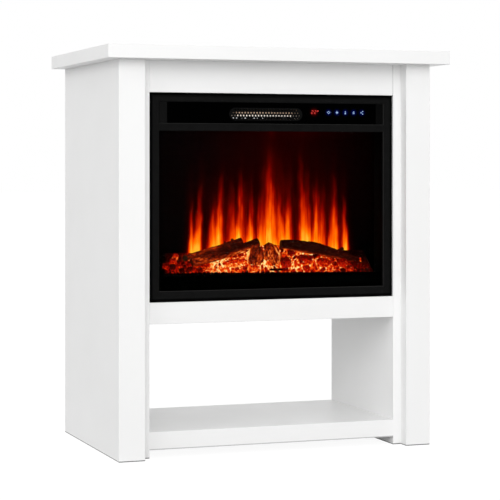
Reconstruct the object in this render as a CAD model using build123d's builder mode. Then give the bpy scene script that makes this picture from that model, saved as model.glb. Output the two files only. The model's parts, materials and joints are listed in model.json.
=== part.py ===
from build123d import *
import os
from math import cos, radians, sin

os.makedirs("parts", exist_ok=True)

# Free-standing electric fireplace, in millimetres.
# X runs to the right, Y to the back and Z up. The origin is on the floor, under the middle of the outer box.

# Mantel
overall_width = 698.0
overall_depth = 442.0
overall_height = 780.0
top_thickness = 26.0
top_edge_round = 1.0
side_overhang = 29.0
front_overhang = 31.5
board = 16.0
leg_face_width = 51.5
stile_setback = 26.5
return_lap = 40.0
back_recess = 64.5
fascia_height = 60.5
opening_height = 399.0
rail_height = 41.0
shelf_lift = 15.5
shelf_thickness = 34.0
stretcher_height = 60.0
batten = 20.0

# Wood screws of the mantel
screw_radius = 2.0
screw_head_radius = 4.2
screw_head_height = 2.6
screw_clearance = 0.15
top_screw_bite = 12.0
panel_screw_bite = 26.0
screw_edge_margin = 32.0
screws_per_run = 3

# Insert: front frame and sheet casing
insert_recess = 3.0
insert_side_gap = 4.5
insert_top_gap = 4.0
foot_height = 5.5
foot_radius = 8.0
foot_inset = 40.0
frame_depth = 10.0
frame_side = 16.0
frame_top_strip = 13.5
frame_bottom_strip = 15.5
frame_chamfer = 1.2
control_height = 40.5
mid_rail = 15.0
casing_inset = 3.0
casing_depth = 160.0
sheet = 1.5
casing_lip = 12.0
pane_clearance = 0.5

# Control strip
control_recess = 1.0
control_pane = 3.0
end_cap_width = 15.5
strip_fit = 0.25
grille_length = 152.0
grille_height = 25.0
grille_fit = 0.3
grille_ledge = 2.0
grille_hole_radius = 1.8
grille_pitch = 6.05
grille_row_gap = 5.6
grille_rows = 4
grille_rim = 2.4
heater_offset = -15.5
heater_drop = 2.0
display_gap = 14.0
display_height = 28.0
display_margin = 8.0
display_plug_width = 24.0
display_plug_depth = 3.0
display_plug_height = 8.0
circuit_board = 1.6

# Fan heater behind the grille
duct_side_room = 2.0
duct_height = 27.0
duct_length = 46.0
element_setback = 20.0
element_radius = 2.2
element_plate = 3.0
element_plate_depth = 14.0
element_plate_height = 20.0
cutout_radius = 7.0
cutout_height = 6.0
cutout_flange = 24.0
cutout_tab = 1.0
cutout_tab_spread = 6.0
cutout_tab_width = 6.0
cutout_tab_height = 3.0
fan_housing_depth = 52.0
fan_wheel_radius = 19.0
fan_disc = 2.0
fan_end_gap = 4.0
fan_blades = 18
fan_blade_depth = 5.0
fan_blade_thickness = 1.2
fan_shaft_radius = 2.0
fan_boss_radius = 6.0
fan_boss_length = 7.0
fan_motor_radius = 20.0
fan_motor_length = 28.0
shaft_grip = 14.0
running_clearance = 0.05

# Control circuit board
driver_width = 90.0
driver_depth = 78.0
driver_setback = 30.0
driver_margin = 40.0
driver_post_radius = 3.0
driver_post_height = 6.0
driver_post_inset = 6.0
driver_part_gap = 6.0
relay_count = 2
relay_width = 14.0
relay_depth = 18.0
relay_height = 15.0
transformer_width = 30.0
transformer_depth = 26.0
transformer_height = 24.0
capacitor_radius = 6.0
capacitor_height = 18.0
terminal_row_width = 60.0
terminal_row_depth = 9.0
terminal_row_height = 10.0

# Fire: glass, hearth lip, ember bed, logs and flame screen
window_glass = 4.0
lip_above_strip = 27.5
ember_side_gap = 25.5
ember_depth = 50.0
ember_rise = 41.0
ember_wall = 2.5
mound_left_share = -0.48
mound_right_share = 0.57
mound_height = 12.0
mound_start = 3.0
mound_ramp = 9.0
log_radius = 10.5
log_foot = 8.0
screen_gap = 4.0
flame_screen_thickness = 3.0

# Flame effect: turning reflector spindle and lamps
spindle_setback = 33.0
spindle_lift = 45.0
spindle_radius = 3.0
spindle_end_room = 1.5
reflector_groups = 10
reflectors_per_group = 3
reflector_length = 30.0
reflector_reach = 18.0
reflector_thickness = 1.0
reflector_twist = 47.0
spindle_motor_radius = 24.0
spindle_motor_length = 22.0
spindle_bearing_size = 20.0
spindle_bearing_length = 10.0
lamp_board_depth = 18.0
lamp_board_margin = 40.0
lamp_size = 4.0
lamp_height = 1.8
lamp_count = 16

# Back of the casing: switch, mains inlet, air slots and fixings
inlet_margin = 58.0
inlet_width = 27.0
inlet_height = 20.0
inlet_body_depth = 16.0
inlet_wall = 2.5
inlet_pin_width = 2.0
inlet_pin_height = 4.0
inlet_pin_spread = 7.0
inlet_floor = 3.0
bezel_lip = 2.0
bezel_thickness = 2.0
cutout_fit = 0.2
rocker_pitch = 45.0
rocker_body_width = 13.0
rocker_body_height = 19.4
rocker_body_depth = 12.0
rocker_wall = 1.5
rocker_gap = 0.35
rocker_floor = 2.0
rocker_pivot_depth = 4.5
rocker_pin_radius = 1.2
rocker_tilt = 8.0
rocker_half_height = 7.3
rocker_face = 2.6
rocker_dish = 1.0
rocker_root = 2.0
rocker_root_half = 6.4
slot_count = 13
slot_width = 4.0
slot_length = 34.0
slot_pitch = 9.0
casing_screw_radius = 1.5
casing_screw_head = 3.0
casing_screw_head_height = 1.8
casing_screw_length = 6.0
bracket_spread = 150.0
bracket_width = 24.0
bracket_reach = 30.0
bracket_rise = 36.0
bracket_thickness = 2.0
bracket_screw_bite = 11.0
bracket_screw_height = 25.0

# Mantel planes that the pieces share
half_top = overall_width / 2
half_body = half_top - side_overhang
front_y = -overall_depth / 2
back_y = overall_depth / 2
leg_y = front_y + front_overhang
leg_back_y = leg_y + board
stile_y = leg_y + stile_setback
stile_back_y = stile_y + board
strip_back_y = back_y - back_recess
strip_front_y = strip_back_y - board
side_inner = half_body - board
leg_inner = half_body - leg_face_width
inner_face = leg_inner - board
body_top = overall_height - top_thickness
opening_top = body_top - fascia_height
opening_bottom = opening_top - opening_height
rail_bottom = opening_bottom - rail_height
shelf_top = shelf_lift + shelf_thickness
batten_bottom = body_top - batten

# Insert planes that the pieces share
frame_half = inner_face - insert_side_gap
frame_front = stile_y + insert_recess
frame_back = frame_front + frame_depth
frame_bottom = opening_bottom + foot_height
frame_top = opening_top - insert_top_gap
casing_half = frame_half - casing_inset
casing_top = frame_top - casing_inset
casing_back_y = frame_back + casing_depth
shell_back = casing_back_y - sheet
inside_half = casing_half - sheet
floor_z = frame_bottom + sheet
ceiling_z = casing_top - sheet
window_half = frame_half - frame_side
window_bottom = frame_bottom + frame_bottom_strip
control_top = frame_top - frame_top_strip
control_bottom = control_top - control_height
window_top = control_bottom - mid_rail
divider_bottom = window_top + mid_rail / 2
divider_top = divider_bottom + sheet
bulkhead_back = frame_back + sheet
control_front = frame_front + control_recess
control_pane_back = control_front + control_pane
control_half = window_half - end_cap_width
control_z = (control_top + control_bottom) / 2
heater_z = control_z - heater_drop
heater_x = heater_offset
air_slot_length = grille_length - 2 * grille_ledge
air_slot_height = grille_height - 2 * grille_ledge
duct_half = grille_length / 2 + duct_side_room
duct_outer_half = duct_half + sheet
duct_back = bulkhead_back + duct_length
fan_y = duct_back + fan_housing_depth / 2
fan_housing_back = duct_back + fan_housing_depth
fan_housing_half = heater_z - divider_top
glass_back = frame_back + window_glass
ember_front = glass_back + sheet
ember_back = ember_front + ember_depth
ember_half = inside_half - ember_side_gap
lip_top = window_bottom + lip_above_strip
bank_top = lip_top + ember_rise
ember_slope = ember_rise / ember_depth
screen_front = ember_back + screen_gap
screen_back = screen_front + flame_screen_thickness
spindle_y = screen_back + spindle_setback
spindle_z = floor_z + spindle_lift
pane_half = inside_half - pane_clearance
pane_top = divider_bottom - pane_clearance
inlet_x = casing_half - inlet_margin
rocker_x = inlet_x - rocker_pitch
pivot_y = casing_back_y + bezel_thickness - rocker_pivot_depth
hole_radius = screw_radius + screw_clearance
casing_hole_radius = casing_screw_radius + screw_clearance


def fill(x, y, z, mode=Mode.ADD):
    """A box between two values on each axis."""
    with Locations(((x[0] + x[1]) / 2, (y[0] + y[1]) / 2, (z[0] + z[1]) / 2)):
        Box(x[1] - x[0], y[1] - y[0], z[1] - z[0], mode=mode)


def rod_x(x, y, z, radius, mode=Mode.ADD):
    """A round bar along X, between two values of x."""
    with Locations(((x[0] + x[1]) / 2, y, z)):
        Cylinder(radius, abs(x[1] - x[0]), rotation=(0, 90, 0), mode=mode)


def rod_y(x, y, z, radius, mode=Mode.ADD):
    """A round bar along Y, between two values of y."""
    with Locations((x, (y[0] + y[1]) / 2, z)):
        Cylinder(radius, y[1] - y[0], rotation=(90, 0, 0), mode=mode)


def rod_z(x, y, z, radius, mode=Mode.ADD):
    """A round bar along Z, between two values of z."""
    with Locations((x, y, (z[0] + z[1]) / 2)):
        Cylinder(radius, z[1] - z[0], mode=mode)


def facing(y):
    """A plane at depth y that faces the front."""
    return Plane(origin=(0, y, 0), x_dir=(1, 0, 0), z_dir=(0, -1, 0))


def around(middle, width):
    """The two ends of a stretch with its middle at a value."""
    return (middle - width / 2, middle + width / 2)


def run(first, last, count):
    """Evenly spaced values from first to last."""
    return [first + (last - first) * index / (count - 1) for index in range(count)]


def keep(piece, name):
    """Names a finished piece and writes it."""
    piece.part.label = name
    export_step(piece.part, f"parts/{name}.step")


# Where the mantel's screws go
side_batten_x = inner_face - batten / 2
front_batten_y = stile_back_y + batten / 2
side_batten_front = stile_back_y + batten
last_screw_y = strip_front_y - screw_edge_margin
top_screw_places = [(front_x, front_batten_y)
                    for front_x in run(-side_batten_x, side_batten_x, screws_per_run)]
for batten_x in (-side_batten_x, side_batten_x):
    for batten_y in run(side_batten_front + screw_edge_margin, last_screw_y, screws_per_run):
        top_screw_places.append((batten_x, batten_y))
panel_screw_rows = run(stile_y + return_lap + screw_edge_margin, last_screw_y, screws_per_run)
panel_screw_places = [(row_y, row_z)
                      for row_z in (shelf_lift + shelf_thickness / 2, opening_bottom - board / 2)
                      for row_y in panel_screw_rows]
panel_screw_end = inner_face - panel_screw_bite

# Top board, drilled from below for its screws
with BuildPart() as top_board:
    fill((-half_top, half_top), (front_y, back_y), (body_top, overall_height))
    fillet(top_board.edges(), top_edge_round)
    for screw_x, screw_y in top_screw_places:
        rod_z(screw_x, screw_y, (body_top, body_top + top_screw_bite), hole_radius, Mode.SUBTRACT)
keep(top_board, "top_board")

# Each hollow side column: outer side, leg front and leg return mitred together, inner panel and back strip
for side, sign in (("left", -1), ("right", 1)):
    outlines = {
        "side_panel": [(half_body, leg_y), (half_body, back_y),
                       (side_inner, back_y), (side_inner, leg_back_y)],
        "leg_front": [(half_body, leg_y), (side_inner, leg_back_y),
                      (leg_inner + board, leg_back_y), (leg_inner, leg_y)],
        "leg_return": [(leg_inner, leg_y), (leg_inner + board, leg_back_y),
                       (leg_inner + board, stile_y + return_lap), (leg_inner, stile_y + return_lap)],
        "back_strip": [(inner_face, strip_front_y), (side_inner, strip_front_y),
                       (side_inner, strip_back_y), (inner_face, strip_back_y)],
    }
    for piece_name, corners in outlines.items():
        with BuildPart() as upright:
            with BuildSketch():
                with BuildLine():
                    Polyline([(sign * corner_x, corner_y) for corner_x, corner_y in corners], close=True)
                make_face()
            extrude(amount=body_top)
        keep(upright, f"{side}_{piece_name}")

    with BuildPart() as inner_panel:
        fill(sorted((sign * inner_face, sign * leg_inner)), (stile_y, strip_front_y), (0, body_top))
        for screw_y, screw_z in panel_screw_places:
            rod_x(sorted((sign * inner_face, sign * leg_inner)), screw_y, screw_z, hole_radius, Mode.SUBTRACT)
    keep(inner_panel, f"{side}_inner_panel")

# Fascia over the insert and rail under it, flush with the front edges of the inner panels
with BuildPart() as fascia_board:
    fill((-inner_face, inner_face), (stile_y, stile_back_y), (opening_top, body_top))
keep(fascia_board, "fascia_board")

with BuildPart() as insert_rail:
    fill((-inner_face, inner_face), (stile_y, stile_back_y), (rail_bottom, opening_bottom))
keep(insert_rail, "insert_rail")

# Shelf that carries the insert, with the holes for the two fixing brackets
bracket_foot_y = casing_back_y + bracket_thickness + (bracket_reach - bracket_thickness) / 2
with BuildPart() as insert_shelf:
    fill((-inner_face, inner_face), (stile_back_y, strip_front_y), (opening_bottom - board, opening_bottom))
    for sign in (-1, 1):
        for screw_y, screw_z in panel_screw_places[screws_per_run:]:
            rod_x(sorted((sign * panel_screw_end, sign * inner_face)), screw_y, screw_z,
                  hole_radius, Mode.SUBTRACT)
        rod_z(sign * bracket_spread, bracket_foot_y, (opening_bottom - bracket_screw_bite, opening_bottom),
              hole_radius, Mode.SUBTRACT)
keep(insert_shelf, "insert_shelf")

with BuildPart() as bottom_shelf:
    fill((-inner_face, inner_face), (stile_y, strip_back_y), (shelf_lift, shelf_top))
    for sign in (-1, 1):
        for screw_y, screw_z in panel_screw_places[:screws_per_run]:
            rod_x(sorted((sign * panel_screw_end, sign * inner_face)), screw_y, screw_z,
                  hole_radius, Mode.SUBTRACT)
keep(bottom_shelf, "bottom_shelf")

# Stretchers between the back strips
with BuildPart() as upper_stretcher:
    fill((-inner_face, inner_face), (strip_front_y, strip_back_y), (body_top - stretcher_height, body_top))
keep(upper_stretcher, "upper_stretcher")

lower_stretcher_bottom = opening_bottom - board
with BuildPart() as lower_stretcher:
    fill((-inner_face, inner_face), (strip_front_y, strip_back_y),
         (lower_stretcher_bottom, lower_stretcher_bottom + stretcher_height))
keep(lower_stretcher, "lower_stretcher")

# Battens under the top board: one behind the fascia and one along each inner panel
with BuildPart() as top_battens:
    fill((-inner_face, inner_face), (stile_back_y, side_batten_front), (batten_bottom, body_top))
    for sign in (-1, 1):
        fill(sorted((sign * (inner_face - batten), sign * inner_face)),
             (side_batten_front + strip_fit, strip_front_y), (batten_bottom, body_top))
    for screw_x, screw_y in top_screw_places:
        rod_z(screw_x, screw_y, (batten_bottom, body_top), hole_radius, Mode.SUBTRACT)
keep(top_battens, "top_battens")

with BuildPart() as top_screws:
    for screw_x, screw_y in top_screw_places:
        rod_z(screw_x, screw_y, (batten_bottom, body_top + top_screw_bite - screw_clearance), screw_radius)
        rod_z(screw_x, screw_y, (batten_bottom - screw_head_height, batten_bottom), screw_head_radius)
keep(top_screws, "top_screws")

# Screws through the inner panels into the ends of the two shelves
with BuildPart() as panel_screws:
    for sign in (-1, 1):
        for screw_y, screw_z in panel_screw_places:
            shank = sorted((sign * (panel_screw_end + screw_clearance), sign * leg_inner))
            head = sorted((sign * leg_inner, sign * (leg_inner + screw_head_height)))
            rod_x(shank, screw_y, screw_z, screw_radius)
            rod_x(head, screw_y, screw_z, screw_head_radius)
keep(panel_screws, "panel_screws")

# Sheet casing: an open wrap with a lip at the back, where the back sheet is screwed on
lip_middle = inside_half - casing_lip / 2
casing_screw_places = []
for screw_x in (-lip_middle, lip_middle):
    for screw_z in run(floor_z + casing_lip / 2, ceiling_z - casing_lip / 2, screws_per_run):
        casing_screw_places.append((screw_x, screw_z))

with BuildPart() as casing_shell:
    fill((-casing_half, casing_half), (frame_back, shell_back), (frame_bottom, casing_top))
    fill((-inside_half, inside_half), (frame_back, shell_back - sheet), (floor_z, ceiling_z), Mode.SUBTRACT)
    fill((casing_lip - inside_half, inside_half - casing_lip), (shell_back - sheet, shell_back),
         (floor_z + casing_lip, ceiling_z - casing_lip), Mode.SUBTRACT)
    for screw_x, screw_z in casing_screw_places:
        rod_y(screw_x, (shell_back - sheet, shell_back), screw_z, casing_hole_radius, Mode.SUBTRACT)
keep(casing_shell, "casing_shell")

bracket_screw_z = opening_bottom + bracket_screw_height
with BuildPart() as casing_back:
    fill((-casing_half, casing_half), (shell_back, casing_back_y), (frame_bottom, casing_top))
    with BuildSketch(facing(casing_back_y)):
        with Locations((heater_x, heater_z)):
            with GridLocations(slot_pitch, 0, slot_count, 1):
                SlotOverall(slot_length, slot_width, rotation=90)
        with Locations((inlet_x, control_z)):
            Rectangle(inlet_width + 2 * cutout_fit, inlet_height + 2 * cutout_fit)
        with Locations((rocker_x, control_z)):
            Rectangle(rocker_body_width + 2 * cutout_fit, rocker_body_height + 2 * cutout_fit)
        with Locations(casing_screw_places):
            Circle(casing_hole_radius)
        with Locations((-bracket_spread, bracket_screw_z), (bracket_spread, bracket_screw_z)):
            Circle(casing_hole_radius)
    extrude(amount=sheet, mode=Mode.SUBTRACT)
keep(casing_back, "casing_back")

with BuildPart() as casing_screws:
    for screw_x, screw_z in casing_screw_places:
        rod_y(screw_x, (casing_back_y - casing_screw_length, casing_back_y), screw_z, casing_screw_radius)
        rod_y(screw_x, (casing_back_y, casing_back_y + casing_screw_head_height), screw_z, casing_screw_head)
keep(casing_screws, "casing_screws")

with BuildPart() as insert_feet:
    for foot_x in (foot_inset - casing_half, casing_half - foot_inset):
        for foot_y in (frame_back + foot_inset, casing_back_y - foot_inset):
            rod_z(foot_x, foot_y, (opening_bottom, frame_bottom), foot_radius)
keep(insert_feet, "insert_feet")

# Brackets that hold the casing down on its shelf
with BuildPart() as fixing_brackets:
    for sign in (-1, 1):
        across = around(sign * bracket_spread, bracket_width)
        fill(across, (casing_back_y, casing_back_y + bracket_thickness),
             (opening_bottom, opening_bottom + bracket_rise))
        fill(across, (casing_back_y, casing_back_y + bracket_reach),
             (opening_bottom, opening_bottom + bracket_thickness))
        rod_z(sign * bracket_spread, bracket_foot_y, (opening_bottom, opening_bottom + bracket_thickness),
              hole_radius, Mode.SUBTRACT)
        rod_y(sign * bracket_spread, (casing_back_y, casing_back_y + bracket_thickness), bracket_screw_z,
              casing_hole_radius, Mode.SUBTRACT)
keep(fixing_brackets, "fixing_brackets")

with BuildPart() as bracket_screws:
    bracket_top = opening_bottom + bracket_thickness
    bracket_face = casing_back_y + bracket_thickness
    for sign in (-1, 1):
        screw_x = sign * bracket_spread
        rod_z(screw_x, bracket_foot_y, (opening_bottom - bracket_screw_bite + screw_clearance, bracket_top),
              screw_radius)
        rod_z(screw_x, bracket_foot_y, (bracket_top, bracket_top + screw_head_height), screw_head_radius)
        rod_y(screw_x, (casing_back_y - casing_screw_length, bracket_face), bracket_screw_z,
              casing_screw_radius)
        rod_y(screw_x, (bracket_face, bracket_face + casing_screw_head_height), bracket_screw_z,
              casing_screw_head)
keep(bracket_screws, "bracket_screws")

# Front frame with the control opening over the window
with BuildPart() as front_frame:
    fill((-frame_half, frame_half), (frame_front, frame_back), (frame_bottom, frame_top))
    fill((-window_half, window_half), (frame_front, frame_back), (window_bottom, window_top), Mode.SUBTRACT)
    fill((-window_half, window_half), (frame_front, frame_back), (control_bottom, control_top), Mode.SUBTRACT)
    chamfer(front_frame.faces().sort_by(Axis.Y)[0].edges(), frame_chamfer)
keep(front_frame, "front_frame")

with BuildPart() as front_glass:
    fill((-pane_half, pane_half), (frame_back, glass_back), (floor_z, pane_top))
keep(front_glass, "front_glass")

# Sheet that closes off the heater space: floor of it and front of it, bent from one piece
with BuildPart() as heater_bulkhead:
    fill((-inside_half, inside_half), (frame_back, shell_back - sheet), (divider_bottom, divider_top))
    fill((-inside_half, inside_half), (frame_back, bulkhead_back), (divider_bottom, ceiling_z))
    with BuildSketch(facing(bulkhead_back)):
        with Locations((heater_x, heater_z)):
            SlotOverall(air_slot_length, air_slot_height)
    extrude(amount=sheet, mode=Mode.SUBTRACT)
keep(heater_bulkhead, "heater_bulkhead")

# Control strip: glossy pane, the tray behind it, and an end cap at each end
display_right = control_half - display_margin
display_width = display_right - (heater_x + grille_length / 2 + display_gap)
display_middle = display_right - display_width / 2
strip_length = 2 * (control_half - strip_fit)
strip_height = control_height - 2 * strip_fit
with BuildPart() as control_glass:
    with BuildSketch(facing(control_pane_back)):
        with Locations((0, control_z)):
            Rectangle(strip_length, strip_height)
        with Locations((heater_x, heater_z)):
            SlotOverall(grille_length, grille_height, mode=Mode.SUBTRACT)
    extrude(amount=control_pane)
keep(control_glass, "control_glass")

with BuildPart() as control_tray:
    with BuildSketch(facing(frame_back)):
        with Locations((0, control_z)):
            Rectangle(strip_length, strip_height)
        with Locations((heater_x, heater_z)):
            SlotOverall(air_slot_length, air_slot_height, mode=Mode.SUBTRACT)
        with Locations((display_middle, control_z)):
            Rectangle(display_width, display_height, mode=Mode.SUBTRACT)
    extrude(amount=frame_back - control_pane_back)
keep(control_tray, "control_tray")

for side, sign in (("left", -1), ("right", 1)):
    with BuildPart() as end_cap:
        fill(sorted((sign * control_half, sign * (window_half - strip_fit))), (control_front, frame_back),
             (control_bottom + strip_fit, control_top - strip_fit))
    keep(end_cap, f"{side}_end_cap")

# Perforated outlet grille, seated on the tray inside the slot of the pane
row_middle = (grille_rows - 1) / 2
hole_places = []
for row in range(grille_rows):
    row_lift = (row - row_middle) * grille_row_gap
    round_end = (grille_height / 2) ** 2 - row_lift ** 2
    half_span = (grille_length - grille_height) / 2 + round_end ** 0.5 - grille_rim - grille_hole_radius
    shift = grille_pitch / 2 * (row % 2)
    first_column = -int((half_span + shift) // grille_pitch)
    last_column = int((half_span - shift) // grille_pitch)
    for column in range(first_column, last_column + 1):
        hole_places.append((heater_x + column * grille_pitch + shift, heater_z + row_lift))

with BuildPart() as outlet_grille:
    with BuildSketch(facing(control_pane_back)):
        with Locations((heater_x, heater_z)):
            SlotOverall(grille_length - 2 * grille_fit, grille_height - 2 * grille_fit)
        with Locations(hole_places):
            Circle(grille_hole_radius, mode=Mode.SUBTRACT)
    extrude(amount=control_pane)
keep(outlet_grille, "outlet_grille")

# Display and touch board, on the back of the pane inside the tray's window
with BuildPart() as display_board:
    board_back = control_pane_back + circuit_board
    fill(around(display_middle, display_width - 2 * strip_fit), (control_pane_back, board_back),
         around(control_z, display_height - 2 * strip_fit))
    fill(around(display_middle, display_plug_width), (board_back, board_back + display_plug_depth),
         around(control_z, display_plug_height))
keep(display_board, "display_board")

# Heater duct from the fan to the grille, with its element and safety cut-out
with BuildPart() as heater_duct:
    fill(around(heater_x, 2 * duct_outer_half), (bulkhead_back, duct_back),
         around(heater_z, duct_height + 2 * sheet))
    fill(around(heater_x, 2 * duct_half), (bulkhead_back, duct_back),
         around(heater_z, duct_height), Mode.SUBTRACT)
keep(heater_duct, "heater_duct")

element_y = bulkhead_back + element_setback
with BuildPart() as heating_element:
    for sign in (-1, 1):
        duct_wall = heater_x + sign * duct_half
        fill(sorted((duct_wall, duct_wall - sign * element_plate)), around(element_y, element_plate_depth),
             around(heater_z, element_plate_height))
        rod_x(around(heater_x, 2 * (duct_half - element_plate)), element_y,
              heater_z + sign * grille_row_gap / 2, element_radius)
keep(heating_element, "heating_element")

duct_top = heater_z + duct_height / 2 + sheet
with BuildPart() as thermal_cutout:
    fill(around(heater_x, cutout_flange), around(element_y, 2 * cutout_radius), (duct_top, duct_top + sheet))
    rod_z(heater_x, element_y, (duct_top, duct_top + cutout_height), cutout_radius)
    for sign in (-1, 1):
        fill(around(heater_x + sign * cutout_tab_spread / 2, cutout_tab), around(element_y, cutout_tab_width),
             (duct_top + cutout_height, duct_top + cutout_height + cutout_tab_height))
keep(thermal_cutout, "thermal_cutout")

# Cross-flow fan: open-backed housing, wheel on a shaft, motor at the left end
with BuildPart() as fan_housing:
    housing_z = (heater_z - fan_housing_half, heater_z + fan_housing_half)
    fill(around(heater_x, 2 * duct_outer_half), (duct_back, fan_housing_back), housing_z)
    fill(around(heater_x, 2 * duct_half), (duct_back + sheet, fan_housing_back),
         (housing_z[0] + sheet, housing_z[1] - sheet), Mode.SUBTRACT)
    fill(around(heater_x, 2 * duct_half), (duct_back, duct_back + sheet),
         around(heater_z, duct_height), Mode.SUBTRACT)
    right_end = heater_x + duct_outer_half
    left_end = heater_x - duct_outer_half
    rod_x((right_end, right_end + fan_boss_length), fan_y, heater_z, fan_boss_radius)
    rod_x((right_end - sheet, right_end + fan_boss_length), fan_y, heater_z,
          fan_shaft_radius + running_clearance, Mode.SUBTRACT)
    rod_x((left_end, left_end + sheet), fan_y, heater_z, fan_boss_radius, Mode.SUBTRACT)
keep(fan_housing, "fan_housing")

with BuildPart() as fan_motor:
    rod_x((left_end - fan_motor_length, left_end), fan_y, heater_z, fan_motor_radius)
    fillet(fan_motor.edges(), sheet)
    rod_x((left_end - shaft_grip, left_end), fan_y, heater_z,
          fan_shaft_radius + running_clearance, Mode.SUBTRACT)
keep(fan_motor, "fan_motor")

wheel_half = duct_half - fan_end_gap
with BuildPart() as fan_wheel:
    rod_x((left_end - shaft_grip + fan_disc, right_end + fan_boss_length), fan_y, heater_z, fan_shaft_radius)
    for disc_x in (heater_x - wheel_half, heater_x + wheel_half - fan_disc):
        rod_x((disc_x, disc_x + fan_disc), fan_y, heater_z, fan_wheel_radius)
    blade_root = Location((0, 0, fan_wheel_radius - fan_blade_depth / 2))
    hub = (heater_x, fan_y, heater_z)
    blade_turns = [360 * blade / fan_blades for blade in range(fan_blades)]
    with Locations([Location(hub, (turn, 0, 0)) * blade_root for turn in blade_turns]):
        Box(2 * wheel_half, fan_blade_thickness, fan_blade_depth)
keep(fan_wheel, "fan_wheel")

# Driver board on posts: relays, transformer, capacitor and a connector row
driver_right = inside_half - driver_margin
driver_left = driver_right - driver_width
driver_front = bulkhead_back + driver_setback
driver_back = driver_front + driver_depth
driver_z = divider_top + driver_post_height
with BuildPart() as control_board:
    fill((driver_left, driver_right), (driver_front, driver_back), (driver_z, driver_z + circuit_board))
    part_z = driver_z + circuit_board
    for post_x in (driver_left + driver_post_inset, driver_right - driver_post_inset):
        for post_y in (driver_front + driver_post_inset, driver_back - driver_post_inset):
            rod_z(post_x, post_y, (divider_top, driver_z), driver_post_radius)
    part_front = driver_front + driver_part_gap
    for relay_index in range(relay_count):
        relay_left = driver_left + driver_part_gap + relay_index * (relay_width + driver_part_gap)
        fill((relay_left, relay_left + relay_width), (part_front, part_front + relay_depth),
             (part_z, part_z + relay_height))
    transformer_right = driver_right - driver_part_gap
    fill((transformer_right - transformer_width, transformer_right),
         (part_front, part_front + transformer_depth), (part_z, part_z + transformer_height))
    terminal_back = driver_back - driver_part_gap
    terminal_front = terminal_back - terminal_row_depth
    fill(around((driver_left + driver_right) / 2, terminal_row_width), (terminal_front, terminal_back),
         (part_z, part_z + terminal_row_height))
    capacitor_room = driver_part_gap + capacitor_radius
    rod_z(driver_left + capacitor_room, terminal_front - capacitor_room,
          (part_z, part_z + capacitor_height), capacitor_radius)
keep(control_board, "control_board")

# Hearth lip: the dark strip between the glass and the embers
with BuildPart() as hearth_lip:
    fill((-pane_half, pane_half), (glass_back, ember_front), (floor_z, lip_top))
keep(hearth_lip, "hearth_lip")


def bank_z(y):
    """Height of the ember bank's slope at depth y."""
    return lip_top + (y - ember_front) * ember_slope


# Outer form of the ember bed: a bank that rises to the back, with a mound under the middle logs
mound_foot = ember_front + mound_start
mound_crest = mound_foot + mound_ramp
with BuildPart() as ember_form:
    with BuildSketch(Plane.YZ.offset(-ember_half)):
        with BuildLine():
            Polyline((ember_front, floor_z), (ember_front, lip_top),
                     (ember_back, bank_top), (ember_back, floor_z), close=True)
        make_face()
    extrude(amount=2 * ember_half)
    with BuildSketch(Plane.YZ.offset(mound_left_share * ember_half)):
        with BuildLine():
            Polyline((mound_foot, floor_z), (mound_foot, bank_z(mound_foot)),
                     (mound_crest, bank_z(mound_crest) + mound_height),
                     (ember_back, bank_top + mound_height), (ember_back, floor_z), close=True)
        make_face()
    extrude(amount=(mound_right_share - mound_left_share) * ember_half)

with BuildPart() as ember_bed:
    add(ember_form.part)
    with BuildSketch(Plane.YZ.offset(ember_wall - ember_half)):
        with BuildLine():
            hollow_front = ember_front + ember_wall
            hollow_back = ember_back - ember_wall
            Polyline((hollow_front, floor_z), (hollow_front, bank_z(hollow_front) - 2 * ember_wall),
                     (hollow_back, bank_z(hollow_back) - 2 * ember_wall), (hollow_back, floor_z), close=True)
        make_face()
    extrude(amount=2 * (ember_half - ember_wall), mode=Mode.SUBTRACT)
keep(ember_bed, "ember_bed")

# Logs: each station's place as shares of the ember bed's half width, depth and rise, and its share of the
# thickest radius, then where the feet are along the log
logs = {
    "left_back_log": ([(-0.76, 0.7, 0.87, 0.67), (-0.5, 0.79, 1.26, 0.71), (-0.225, 0.83, 1.6, 0.76)],
                      (0.12, 0.8)),
    "left_front_log": ([(-0.73, 0.3, 0.61, 0.62), (-0.4, 0.43, 1.01, 0.76), (-0.07, 0.61, 1.5, 0.86)],
                       (0.12, 0.8)),
    "centre_left_log": ([(-0.09, 0.25, 1.22, 0.76), (-0.115, 0.26, 0.9, 0.9), (-0.14, 0.25, 0.49, 0.81)], ()),
    "centre_right_log": ([(0.01, 0.49, 1.27, 0.67), (0.03, 0.38, 0.98, 0.9), (0.055, 0.26, 0.49, 0.81)], ()),
    "right_log": ([(0.16, 0.56, 1.38, 0.81), (0.47, 0.48, 1.17, 1.0), (0.885, 0.36, 0.56, 0.52)],
                  (0.15, 0.85)),
}
for log_name, (log_points, log_feet) in logs.items():
    stations = []
    for across, behind, above, girth in log_points:
        place = Vector(across * ember_half, ember_front + behind * ember_depth, lip_top + above * ember_rise)
        stations.append((place, girth * log_radius))
    log_start = stations[0][0]
    log_end = stations[-1][0]
    with BuildPart() as log:
        for place, radius in stations:
            with BuildSketch(Plane(origin=place, z_dir=log_end - log_start)):
                Circle(radius)
        loft()
        for share in log_feet:
            foot_top = log_start + (log_end - log_start) * share
            fill(around(foot_top.X, log_foot), around(foot_top.Y, log_foot), (floor_z, foot_top.Z))
        add(ember_form.part, mode=Mode.SUBTRACT)
    keep(log, log_name)

with BuildPart() as flame_screen:
    fill((-pane_half, pane_half), (screen_front, screen_back), (floor_z, pane_top))
keep(flame_screen, "flame_screen")

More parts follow.
